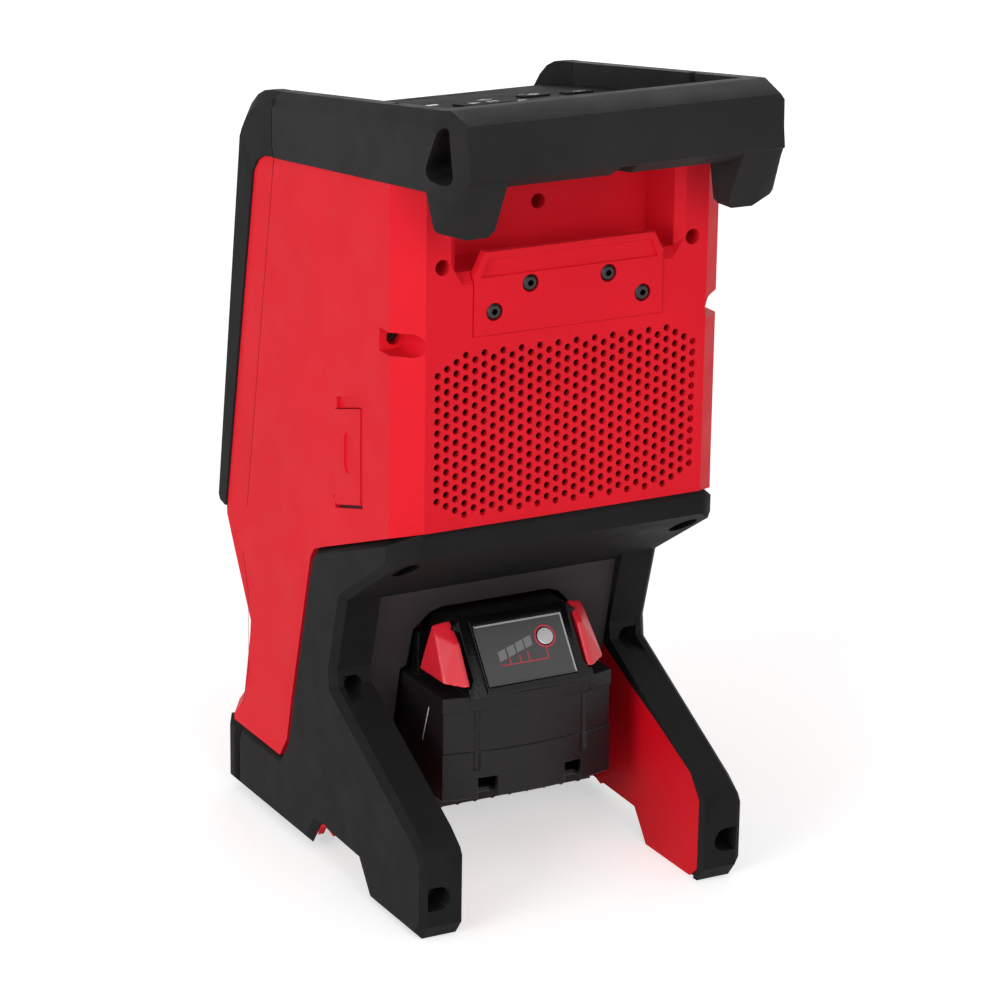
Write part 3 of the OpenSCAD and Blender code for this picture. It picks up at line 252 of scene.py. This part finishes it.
def leather_plastic(name, colour, roughness):
    """Pack housing plastic with a pebble grain, blacker and glossier on the hump above its deck."""
    finish, tree, shader, place = start_finish(name, colour, roughness)
    pebble = tree.nodes.new("ShaderNodeTexVoronoi")
    pebble.feature = "SMOOTH_F1"
    pebble.inputs["Scale"].default_value = 760
    tree.links.new(place, pebble.inputs["Vector"])
    flow = noise(tree, place, 30, 4, 0.6)
    cloud = ranged(tree, flow, 0.3, 0.7, 0, 1)
    tone = tinted(tree, cloud, scaled(colour, 0.86), scaled(colour, 1.14))
    split = tree.nodes.new("ShaderNodeSeparateXYZ")
    tree.links.new(place, split.inputs[0])
    raised = ranged(tree, split.outputs[2], *PACK_DECK, 0, 1)
    hump = tree.nodes.new("ShaderNodeMix")
    hump.data_type = "RGBA"
    hump.inputs[7].default_value = (*scaled(colour, 0.45), 1)
    tree.links.new(raised, hump.inputs[0])
    tree.links.new(tone, hump.inputs[6])
    tree.links.new(hump.outputs[2], shader.inputs["Base Color"])
    sheen = ranged(tree, flow, 0.3, 0.7, roughness - 0.06, roughness + 0.06)
    polish = tree.nodes.new("ShaderNodeMath")
    polish.operation = "MULTIPLY"
    polish.inputs[1].default_value = 0.1
    tree.links.new(raised, polish.inputs[0])
    polished = tree.nodes.new("ShaderNodeMath")
    polished.operation = "SUBTRACT"
    tree.links.new(sheen, polished.inputs[0])
    tree.links.new(polish.outputs[0], polished.inputs[1])
    tree.links.new(polished.outputs[0], shader.inputs["Roughness"])
    relief(tree, shader, pebble.outputs["Distance"], 0.16, 0.7)
    shader.inputs["Specular IOR Level"].default_value = 0.24
    return finish


def metal(name, colour, roughness, grain):
    """Plated or oxidised metal with drawn streaks and a mottled sheen."""
    finish, tree, shader, place = start_finish(name, colour, roughness)
    shader.inputs["Metallic"].default_value = 1.0
    stretch = tree.nodes.new("ShaderNodeMapping")
    stretch.inputs["Scale"].default_value = (1, 1, 12)
    tree.links.new(place, stretch.inputs["Vector"])
    streaks = noise(tree, stretch.outputs[0], grain, 3, 0.6)
    tone = tinted(tree, streaks, scaled(colour, 0.8), scaled(colour, 1.15))
    tree.links.new(tone, shader.inputs["Base Color"])
    sheen = ranged(tree, streaks, 0.3, 0.7, roughness - 0.07, roughness + 0.09)
    tree.links.new(sheen, shader.inputs["Roughness"])
    relief(tree, shader, streaks, 0.03, 0.5)
    return finish


def powder_coat(name, colour, roughness):
    """Orange-peel paint over punched sheet."""
    finish, tree, shader, place = start_finish(name, colour, roughness)
    peel = noise(tree, place, 1100, 2, 0.5)
    dust = noise(tree, place, 40, 5, 0.7)
    tone = tinted(tree, ranged(tree, dust, 0.35, 0.75, 0, 1), colour, scaled(colour, 1.25))
    tree.links.new(tone, shader.inputs["Base Color"])
    sheen = ranged(tree, dust, 0.3, 0.7, roughness - 0.04, roughness + 0.1)
    tree.links.new(sheen, shader.inputs["Roughness"])
    relief(tree, shader, peel, 0.05, 0.7)
    return finish


def fibre(name, colour, grain, depth):
    """Pressed paper, felt or foam: open fibres and a dull surface."""
    finish, tree, shader, place = start_finish(name, colour, 0.85)
    strands = noise(tree, place, grain, 6, 0.75)
    cloud = ranged(tree, strands, 0.3, 0.7, 0, 1)
    tone = tinted(tree, cloud, scaled(colour, 0.6), scaled(colour, 1.5))
    tree.links.new(tone, shader.inputs["Base Color"])
    relief(tree, shader, strands, depth, 0.8)
    shader.inputs["Specular IOR Level"].default_value = 0.25
    return finish


def circuit_board(name):
    """Solder mask over copper tracks, with tinned pads."""
    finish, tree, shader, place = start_finish(name, (0.012, 0.13, 0.06), 0.32)
    tracks = tree.nodes.new("ShaderNodeTexBrick")
    tracks.inputs["Scale"].default_value = 160
    tracks.inputs["Mortar Size"].default_value = 0.06
    tracks.inputs["Color1"].default_value = (0.012, 0.13, 0.06, 1)
    tracks.inputs["Color2"].default_value = (0.016, 0.15, 0.07, 1)
    tracks.inputs["Mortar"].default_value = (0.03, 0.26, 0.12, 1)
    tree.links.new(place, tracks.inputs["Vector"])
    pads = tree.nodes.new("ShaderNodeTexVoronoi")
    pads.inputs["Scale"].default_value = 190
    tree.links.new(place, pads.inputs["Vector"])
    tinned = ranged(tree, pads.outputs["Distance"], 0.16, 0.2, 1, 0)
    mix = tree.nodes.new("ShaderNodeMix")
    mix.data_type = "RGBA"
    mix.inputs[7].default_value = (0.55, 0.55, 0.53, 1)
    tree.links.new(tinned, mix.inputs[0])
    tree.links.new(tracks.outputs["Color"], mix.inputs[6])
    tree.links.new(mix.outputs[2], shader.inputs["Base Color"])
    relief(tree, shader, tracks.outputs["Fac"], 0.03, 0.5)
    return finish


def clear_gloss(name, colour, roughness, coat=0.6):
    """Glossy moulding or printed film under a clear coat."""
    finish, tree, shader, place = start_finish(name, colour, roughness)
    flow = noise(tree, place, 25, 3, 0.6)
    cloud = ranged(tree, flow, 0.3, 0.7, 0, 1)
    tone = tinted(tree, cloud, scaled(colour, 0.93), scaled(colour, 1.07))
    tree.links.new(tone, shader.inputs["Base Color"])
    fine = noise(tree, place, 500, 2, 0.5)
    sheen = ranged(tree, fine, 0.3, 0.7, roughness - 0.03, roughness + 0.04)
    tree.links.new(sheen, shader.inputs["Roughness"])
    relief(tree, shader, fine, 0.015, 0.6)
    shader.inputs["Coat Weight"].default_value = coat
    shader.inputs["Coat Roughness"].default_value = 0.12
    return finish


RED = (0.71, 0.01, 0.022)
LINING_RED = (0.66, 0.003, 0.012)
RED_SHADOW = (0.11, 0.001, 0.002)
GUARD_BLACK = (0.0135, 0.0128, 0.0132)
BEAM_BLACK = (0.022, 0.0205, 0.0205)
BAY_BLACK = (0.034, 0.028, 0.03)
PANEL_BLACK = (0.014, 0.0135, 0.0138)
PACK_BLACK = (0.0088, 0.0078, 0.0088)
SHADOW = (0.0012, 0.0012, 0.0012)

red_shell = moulded_plastic("red_shell_plastic", RED, 0.52, 1400, 0.05, 0.035, 0.09)
lining = moulded_plastic("leg_lining_plastic", LINING_RED, 0.5, 1500, 0.04, 0.04, 0.1)
guard_black = moulded_plastic("guard_plastic", GUARD_BLACK, 0.62, 1300, 0.07, 0.1, 0.06)
beam_black = moulded_plastic("handle_grain_plastic", BEAM_BLACK, 0.6, 700, 0.12, 0.14, 0.06)
bay_black = moulded_plastic("bay_plastic", BAY_BLACK, 0.5, 1300, 0.07, 0.1, 0.12)
soft_black = moulded_plastic("panel_soft_plastic", PANEL_BLACK, 0.7, 1700, 0.05, 0.08, 0.04)
# Near-black and dark red strips painted as the shadow in the parting lines' gaps
gap_shadow_black = moulded_plastic("bumper_gap_shadow_shadow", SHADOW, 0.8, 1700, 0.02, 0.1, 0.02)
gap_shadow_red = moulded_plastic("housing_seam_shadow", RED_SHADOW, 0.7, 1700, 0.02, 0.1, 0.05)
inner_black = moulded_plastic("inner_plastic", (0.02, 0.02, 0.021), 0.55, 1000, 0.08, 0.1, 0.25)
grille_coat = powder_coat("grille_powder_coat", (0.016, 0.016, 0.017), 0.42)
gasket_foam = fibre("gasket_foam", (0.02, 0.02, 0.021), 2200, 0.2)
cone_paper = fibre("pressed_cone_paper", (0.05, 0.05, 0.052), 900, 0.12)
roll_rubber = moulded_plastic("surround_rubber", (0.018, 0.018, 0.019), 0.5, 2000, 0.05, 0.1, 0.4)
zinc = metal("zinc_plate", (0.5, 0.5, 0.51), 0.32, 90)
black_oxide = metal("black_oxide_steel", (0.05, 0.048, 0.047), 0.34, 200)
aluminium = metal("extruded_aluminium", (0.72, 0.73, 0.74), 0.35, 60)
brass = metal("plated_brass", (0.76, 0.58, 0.27), 0.28, 120)
board_green = circuit_board("solder_mask")
light_guide = clear_gloss("light_guide", (0.6, 0.61, 0.63), 0.18)
pack_black = leather_plastic("pack_grain_plastic", PACK_BLACK, 0.42)
label_film = clear_gloss("label_film", (0.036, 0.035, 0.036), 0.34, 0.25)
# Light grey label rim for its top and right edges: painted highlight
label_rim = clear_gloss("label_rim", (0.34, 0.34, 0.35), 0.25)
bar_grey = clear_gloss("gauge_bar_print", (0.16, 0.16, 0.165), 0.35, 0.3)
line_red = clear_gloss("gauge_line_print", (0.42, 0.02, 0.035), 0.35, 0.3)
silver_key = metal("silver_button", (0.5, 0.5, 0.51), 0.3, 420)
# Near-black label rim for its foot and left edges: painted shade
rim_painted_shade = clear_gloss("label_rim_foot", (0.012, 0.012, 0.0125), 0.3)
release_red = clear_gloss("release_plastic", (0.68, 0.014, 0.03), 0.34, 0.3)
cell_wrap = clear_gloss("cell_wrap", (0.04, 0.17, 0.32), 0.3)
print_white = clear_gloss("panel_print", (0.55, 0.55, 0.55), 0.5, 0.0)


# Mouldings and other CAD parts, with their edges broken

def dress_node(node, finish, slot, body, edge, segments=2, angle=28, rim=0, clamp=True):
    """Copy a CAD node, chamfer its rim if asked, break its edges and dress it."""
    piece = moulded_copy(node, node + "_piece")
    if rim:
        chamfer_outline(piece, rim)
    round_edges(piece, edge, segments, angle, clamp)
    return dress(piece, finish, slot, body, node)


for node, finish, slot, body, edge in (
    ("front_housing", red_shell, "red_shell", SPEAKER, 0.6),
    ("rear_housing", red_shell, "red_shell", SPEAKER, 0.6),
    ("front_bezel", guard_black, "guard_black", SPEAKER, 0.7),
    ("rear_bumper", beam_black, "guard_black", SPEAKER, 1.1),
    ("hang_plate", red_shell, "red_shell", SPEAKER, 0.35),
    ("port_door", red_shell, "red_shell", "side_door", 0.3),
    ("leg_liner_left", lining, "leg_lining", SPEAKER, 0.3),
    ("leg_liner_right", lining, "leg_lining", SPEAKER, 0.3),
    ("base_pan", bay_black, "bay_black", SPEAKER, 0.3),
    ("battery_bay", bay_black, "bay_black", SPEAKER, 0.4),
    ("power_key", soft_black, "panel_black", "power_button", 0.35),
    ("volume_down_key", soft_black, "panel_black", "volume_down_button", 0.35),
    ("play_key", soft_black, "panel_black", "play_button", 0.35),
    ("volume_up_key", soft_black, "panel_black", "volume_up_button", 0.35),
    ("pairing_key", soft_black, "panel_black", "pairing_button", 0.35),
    ("status_lens", light_guide, "lens", SPEAKER, 0.3),
    ("pack_label", label_film, "pack_label", PACK, 0.4),
    ("gauge_button", silver_key, "gauge_key", "charge_button", 0.5),
    ("plate_screws", black_oxide, "screw_black", SPEAKER, 0.2),
    ("housing_screws", black_oxide, "screw_black", SPEAKER, 0.2),
    ("frame_screws", black_oxide, "screw_black", SPEAKER, 0.2),
):
    dress_node(node, finish, slot, body, edge)
dress_node("lower_frame", guard_black, "guard_black", SPEAKER, 0.3, angle=50, rim=FRAME_RIM)
dress_node("front_foot", guard_black, "guard_black", SPEAKER, 0.5, angle=50, rim=FRAME_RIM)
dress_node("rear_grille", red_shell, "red_shell", SPEAKER, 0.28, segments=1)
dress_node("pack_lower_case", pack_black, "pack_black", PACK, 0.3, 1, 50, clamp=False)
dress_node("pack_upper_case", pack_black, "pack_black", PACK, 0.25, 1, 50, clamp=False)
# The release buttons are soft-edged mouldings, remeshed and smoothed
for side in ("left", "right"):
    button = moulded_copy("release_" + side, "release_" + side + "_piece")
    modify(button, "REMESH", mode="VOXEL", voxel_size=0.45 * MM)
    modify(button, "SMOOTH", factor=0.8, iterations=9)
    pick(button)
    bpy.ops.object.shade_smooth()
    dress(button, release_red, "release_red", "release_button_" + side, "release_" + side)

# The panel, the front grille and the parts inside keep their CAD form
for names, finish in (
    (("front_grille",), grille_coat),
    (("control_panel",), soft_black),
    (("speaker_baffle", "woofer_frame_low", "woofer_frame_high", "radiator_frame", "port_pocket",
      "tweeter_left", "tweeter_right"), inner_black),
    (("front_gasket",), gasket_foam),
    (("woofer_cone_low", "woofer_cone_high", "radiator_plate"), cone_paper),
    (("woofer_surrounds", "radiator_surround"), roll_rubber),
    (("woofer_magnet_low", "woofer_magnet_high", "usb_socket", "door_pin", "pack_screws"), zinc),
    (("heat_sink",), aluminium),
    (("control_board", "amplifier_board", "port_board"), board_green),
    (("bay_contacts", "pack_contacts"), brass),
    (("pack_cells",), cell_wrap),
):
    for name in names:
        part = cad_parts[name]
        part.data.materials.clear()
        part.data.materials.append(finish)


# Thin pieces: prints, rims and lines, each drawn flat and then laid on its surface; the label's rim
# is painted highlight and shade, and the parting lines are painted shadow

FULL_TURN = 360.0
LABEL_TILT = math.radians(36.7)
PANEL = Matrix.Translation((0, 0, 0.34945)) @ Matrix.Rotation(LEAN, 4, "X")
FACING_BACK = Matrix(((1, 0, 0, 0), (0, 0, 1, 0), (0, 1, 0, 0), (0, 0, 0, 1)))
FACING_RIGHT = Matrix(((0, 0, 1, 0), (1, 0, 0, 0), (0, 1, 0, 0), (0, 0, 0, 1)))
LABEL = (
    Matrix.Translation((0, 0.0459, 0.0901)) @ Matrix.Rotation(LABEL_TILT, 4, "X") @ FACING_BACK)
PLATE = Matrix.Translation((0, 0.0706, 0)) @ FACING_BACK
PACK_SIDE = Matrix.Translation((0.0419, 0, 0)) @ FACING_RIGHT


def flat_piece(name, outline, thick, edge=0.0):
    """Flat piece with this outline in millimetres, its back at height 0, thick upwards."""
    deselect()
    bpy.ops.mesh.primitive_circle_add(vertices=len(outline), radius=1, fill_type="NGON")
    piece = named(name)
    for vert, (x, y) in zip(piece.data.vertices, outline):
        vert.co = (x * MM, y * MM, 0)
    upwards = {"TRANSFORM_OT_translate": {"value": (0, 0, thick * MM)}}
    edit(piece, ALL, (bpy.ops.mesh.extrude_region_move, upwards), ALL, OUTWARDS)
    if edge:
        modify(piece, "BEVEL", width=edge * MM, segments=2, limit_method="ANGLE", angle_limit=0.5)
    return piece


def ring_outline(radius, middle, count, start=0.0, sweep=FULL_TURN):
    """Points round a circle or part of one, in millimetres and degrees."""
    steps = count if sweep == FULL_TURN else count + 1
    angles = [math.radians(start + sweep * step / count) for step in range(steps)]
    return [(middle[0] + radius * math.cos(a), middle[1] + radius * math.sin(a)) for a in angles]


def arc_band(middle, inner, outer, start, sweep, count=28):
    """Outline of a band round part of a circle."""
    far = ring_outline(outer, middle, count, start, sweep)
    near = ring_outline(inner, middle, count, start, sweep)
    return far + near[::-1]


def bar_outline(x, y, w, h, slant=0.0):
    """Outline of an upright bar round its middle, its top and foot rising by slant towards -x."""
    return [
        (x + w / 2, y - h / 2 - slant * w / 2), (x + w / 2, y + h / 2 - slant * w / 2),
        (x - w / 2, y + h / 2 + slant * w / 2), (x - w / 2, y - h / 2 + slant * w / 2)]


def lay(pieces, name, frame_matrix, height, finish, slot, body):
    """Join flat pieces, lay them on the frame's plane at this height, and dress them."""
    deselect()
    for piece in pieces:
        piece.select_set(True)
    bpy.context.view_layer.objects.active = pieces[0]
    if len(pieces) > 1:
        bpy.ops.object.join()
    whole = pieces[0]
    whole.name = name
    whole.data.name = name
    whole.matrix_world = frame_matrix @ Matrix.Translation((0, 0, height * MM))
    settle(whole)
    edit(whole, ALL, OUTWARDS)
    return dress(whole, finish, slot, body)


def mark_panel():
    """Generic white marks on the keys and beside them."""
    thick = 0.07
    key_top = -9.1
    panel_top = -10.0

    def marks(name, outlines, height, body):
        """Lay one group of marks at this height, to ride on this body."""
        flats = [flat_piece(name + "_part", outline, thick) for outline in outlines]
        lay(flats, name, PANEL, height, print_white, "lens", body)

    marks("play_mark", [
        [(7.2, -10.6), (2.2, -8.0), (7.2, -5.4)],
        bar_outline(-2.2, -8, 1.3, 4.8), bar_outline(-5.0, -8, 1.3, 4.8)], key_top, "play_button")
    marks("plus_mark", [[
        (-29.3, -22.8), (-29.3, -20.7), (-27.2, -20.7), (-27.2, -19.3), (-29.3, -19.3),
        (-29.3, -17.2), (-30.7, -17.2), (-30.7, -19.3), (-32.8, -19.3), (-32.8, -20.7),
        (-30.7, -20.7), (-30.7, -22.8)]], key_top, "volume_up_button")
    marks("minus_mark", [bar_outline(30, -20, 5.6, 1.4)], key_top, "volume_down_button")
    marks("power_mark", [
        arc_band((49, -13.1), 1.9, 2.7, 125, 290), bar_outline(49, -11.2, 0.9, 3.0)],
        key_top, "power_button")
    marks("link_mark", [
        arc_band((-48.0, -13.1), 0.9, 1.6, 60, 300), arc_band((-50.4, -13.1), 0.9, 1.6, -120, 300)],
        key_top, "pairing_button")
    marks("panel_marks", [
        bar_outline(-20, -9.5, 1.1, 3.0), bar_outline(-18, -9.1, 1.1, 3.8),
        bar_outline(-16, -8.7, 1.1, 4.6),
        arc_band((-9.5, -28.5), 3.2, 4.0, 20, 140), arc_band((-9.5, -28.5), 1.6, 2.4, 20, 140),
        ring_outline(0.8, (-9.5, -28.5), 16),
        arc_band((-31.5, -30.5), 2.6, 3.3, 200, 140), bar_outline(-31.5, -30.5, 3.4, 0.9),
        ring_outline(0.7, (-49.5, -24.5), 14), ring_outline(0.7, (49.5, -24.5), 14)],
        panel_top, SPEAKER)


def draw_gauge():
    """Label's rim, light grey on top and right as painted highlight and near black on its foot and
    left as painted shade, four charge bars, their lines, the ring round the button and a side line.
    """
    face = 0.5
    print_thick = 0.08
    foot_line = 9.3
    # The top and right rim strips carry the painted highlight, the foot and left strips the painted
    # shade
    for name, finish, outline in (
        ("top", label_rim, [(-21.9, 28.9), (-21.1, 28.1), (21.1, 28.1), (21.9, 28.9)]),
        ("right", label_rim, [(-21.9, 0.9), (-21.1, 1.7), (-21.1, 28.1), (-21.9, 28.9)]),
        ("foot", rim_painted_shade, [(21.9, 0.9), (21.1, 1.7), (-21.1, 1.7), (-21.9, 0.9)]),
        ("left", rim_painted_shade, [(21.9, 28.9), (21.1, 28.1), (21.1, 1.7), (21.9, 0.9)]),
    ):
        rim = flat_piece("rim", outline, 0.16, 0.06)
        lay([rim], "label_rim_" + name, LABEL, face - 0.02, finish, "pack_label", PACK)
    for index, (x, z) in enumerate(((11.7, 14.0), (6.9, 15.4), (2.3, 16.9), (-2.2, 18.2))):
        bar = flat_piece("bar", bar_outline(x, z, 3.9, 4.5, 0.28), print_thick)
        lay([bar], "gauge_bar_%d" % (index + 1), LABEL, face, bar_grey, "pack_label", PACK)
    lines = [bar_outline(1.5, foot_line, 24.0, 0.55)]
    for x, top in ((13.2, 10.3), (8.6, 12.4), (3.6, 12.9), (-0.7, 14.2), (-10.2, 14.4)):
        lines.append(bar_outline(x, (foot_line + top) / 2, 0.6, top - foot_line))
    drawn = [flat_piece("line", outline, print_thick) for outline in lines]
    lay(drawn, "gauge_lines", LABEL, face, line_red, "pack_label", PACK)
    ring = flat_piece("ring", arc_band((-11.1, 19.4), 4.35, 5.3, 0, 359.9, 64), 0.3, 0.08)
    lay([ring], "gauge_ring", LABEL, face, line_red, "pack_label", PACK)
    line = flat_piece("slash", [(20.2, 61.0), (20.9, 61.0), (26.8, 78.5), (26.1, 78.5)], 0.06)
    lay([line], "pack_side_line", PACK_SIDE, 0, print_white, "pack_label", PACK)


def rim_plate():
    """Raised lip along the hang plate's top edge and slanted sides."""
    outline = [
        (45.2, 286.6), (40.5, 295.6), (-40.5, 295.6), (-45.2, 286.6),
        (-42.6, 284.6), (-39.2, 292.6), (39.2, 292.6), (42.6, 284.6)]
    lip = flat_piece("plate_lip", outline, 0.9, 0.3)
    lay([lip], "plate_lip", PLATE, -0.05, red_shell, "red_shell", SPEAKER)


def draw_gap_shadow(name, path, x, width, finish, slot):
    """Painted shadow of a parting line's gap: a dark strip along a path of (y, z) points on both
    side faces at x.
    """
    overrun = 0.1
    thick = 0.03
    for side, hand in ((1, "_right"), (-1, "_left")):
        bars = []
        for (y0, z0), (y1, z1) in zip(path, path[1:]):
            along = Vector((y1 - y0, z1 - z0)).normalized() * overrun
            across = Vector((along.y, -along.x)).normalized() * width / 2
            a, b = Vector((y0, z0)) - along, Vector((y1, z1)) + along
            corners = [tuple(a + across), tuple(b + across), tuple(b - across), tuple(a - across)]
            bars.append(flat_piece("seam_part", corners, thick))
        mirrored = Matrix.Scale(side, 4, (1, 0, 0)) @ FACING_RIGHT
        face = Matrix.Translation((side * x * MM, 0, 0)) @ mirrored
        lay(bars, name + hand, face, -thick / 2, finish, slot, SPEAKER)


mark_panel()
draw_gauge()
bumper_joint = [(-52.5, 334.6), (-52.5, 318.0), (-50.6, 313.2)]
upper_joint = [(-52.6, 312.4), (-86.5, 123.2)]
lower_joint = [(-86.6, 121.8), (-81.0, 104.0), (-81.0, 66.0), (-86.2, 51.3), (-87.9, 46.4)]
# Dark strips laid on the parting lines are painted shadow of the gaps between the mouldings
draw_gap_shadow("bumper_gap_shadow", bumper_joint, 80.0, 0.5, gap_shadow_black, "guard_black")
draw_gap_shadow("upper_housing_gap_shadow", upper_joint, 79.0, 0.35, gap_shadow_red, "red_shell")
draw_gap_shadow("lower_housing_gap_shadow", lower_joint, 79.5, 0.35, gap_shadow_red, "red_shell")
rim_plate()


# Camera: the photograph's place, turn and lens

CAMERA_PLACE = (0.7819, 1.451, 0.7101)
# Turn from the back towards the right, dip and roll, in degrees
CAMERA_ANGLES = (28.519, 18.438, 0.834)
LENS = 140.94


def aim_camera():
    """Put the camera where the photograph was taken, with its turn, dip, roll and lens."""
    camera = bpy.data.objects.new("camera", bpy.data.cameras.new("camera"))
    bpy.context.scene.collection.objects.link(camera)
    turn, dip, roll = (math.radians(angle) for angle in CAMERA_ANGLES)
    ahead = -Vector((math.sin(turn) * math.cos(dip), math.cos(turn) * math.cos(dip), math.sin(dip)))
    level = Vector((-math.cos(turn), math.sin(turn), 0))
    upright = level.cross(ahead)
    right = math.cos(roll) * level + math.sin(roll) * upright
    up = -math.sin(roll) * level + math.cos(roll) * upright
    matrix = Matrix((right, up, -ahead)).transposed().to_4x4()
    matrix.translation = Vector(CAMERA_PLACE)
    camera.matrix_world = matrix
    camera.data.sensor_width = 36
    camera.data.lens = LENS
    camera.data.clip_start = 0.05
    camera.data.clip_end = 50
    bpy.context.scene.camera = camera


# Light: soft boxes aimed at the speaker's middle height, in a white room

MIDDLE = Vector((0, 0, 0.18))
# Room light falls off from behind the camera to the far side of the speaker
LIGHT_SIDE = (0.42, 0.89, 0.15)
ROOM_LIGHT = (0.16, 0.62)
# Lift of the floor that only the camera sees, so that it runs into the white background
FLOOR_LIFT = 0.52


def soft_box(name, place, power, size):
    """Square soft box aimed at the middle of the speaker."""
    lamp = bpy.data.objects.new(name, bpy.data.lights.new(name, "AREA"))
    bpy.context.scene.collection.objects.link(lamp)
    lamp.data.size = size
    lamp.data.energy = power
    lamp.location = place
    aim = MIDDLE - Vector(place)
    lamp.rotation_euler = aim.to_track_quat("-Z", "Y").to_euler()


def camera_ray_mix(tree, seen_by_rays, seen_by_camera, output):
    """Show one shader to the camera, gloss and glass, and another to light that is scattered."""
    path = tree.nodes.new("ShaderNodeLightPath")
    blend = tree.nodes.new("ShaderNodeMixShader")
    seen = path.outputs["Is Camera Ray"]
    for kind in ("Is Glossy Ray", "Is Transmission Ray"):
        either = tree.nodes.new("ShaderNodeMath")
        either.operation = "MAXIMUM"
        tree.links.new(seen, either.inputs[0])
        tree.links.new(path.outputs[kind], either.inputs[1])
        seen = either.outputs[0]
    tree.links.new(seen, blend.inputs[0])
    tree.links.new(seen_by_rays, blend.inputs[1])
    tree.links.new(seen_by_camera, blend.inputs[2])
    tree.links.new(blend.outputs[0], output)


def light_studio():
    """White room, brighter behind the camera, soft boxes, and a floor that keeps the shadow."""
    world = bpy.data.worlds.new("studio")
    bpy.context.scene.world = world
    world.use_nodes = True
    tree = world.node_tree
    room = tree.nodes["Background"]
    room.inputs[0].default_value = (1, 1, 1, 1)
    place = tree.nodes.new("ShaderNodeTexCoord")
    facing = tree.nodes.new("ShaderNodeVectorMath")
    facing.operation = "DOT_PRODUCT"
    facing.inputs[1].default_value = LIGHT_SIDE
    tree.links.new(place.outputs["Generated"], facing.inputs[0])
    level = ranged(tree, facing.outputs["Value"], -1, 1, *ROOM_LIGHT)
    tree.links.new(level, room.inputs[1])
    white = tree.nodes.new("ShaderNodeBackground")
    white.inputs[0].default_value = (1, 1, 1, 1)
    white.inputs[1].default_value = 1.0
    camera_ray_mix(tree, room.outputs[0], white.outputs[0], tree.nodes["World Output"].inputs[0])
    soft_box("key_right", (2.5, 1.0, 0.8), 37, 1.5)
    soft_box("key_rear", (0.1, 2.7, 1.0), 20, 1.5)
    soft_box("front_fill", (-1.6, -2.2, 1.2), 12, 1.6)
    bpy.ops.mesh.primitive_plane_add(size=14, location=(0, 0, -0.0002))
    floor = named("floor")
    paper, tree, shader, place = start_finish("floor_paper", (0.9, 0.9, 0.9), 0.9)
    shader.inputs["Specular IOR Level"].default_value = 0.1
    lift = tree.nodes.new("ShaderNodeEmission")
    lift.inputs["Strength"].default_value = FLOOR_LIFT
    lit = tree.nodes.new("ShaderNodeAddShader")
    tree.links.new(shader.outputs[0], lit.inputs[0])
    tree.links.new(lift.outputs[0], lit.inputs[1])
    output = tree.nodes["Material Output"].inputs[0]
    camera_ray_mix(tree, shader.outputs[0], lit.outputs[0], output)
    floor.data.materials.append(paper)
    settle(floor)


aim_camera()
light_studio()

bpy.context.scene.view_settings.view_transform = "Standard"
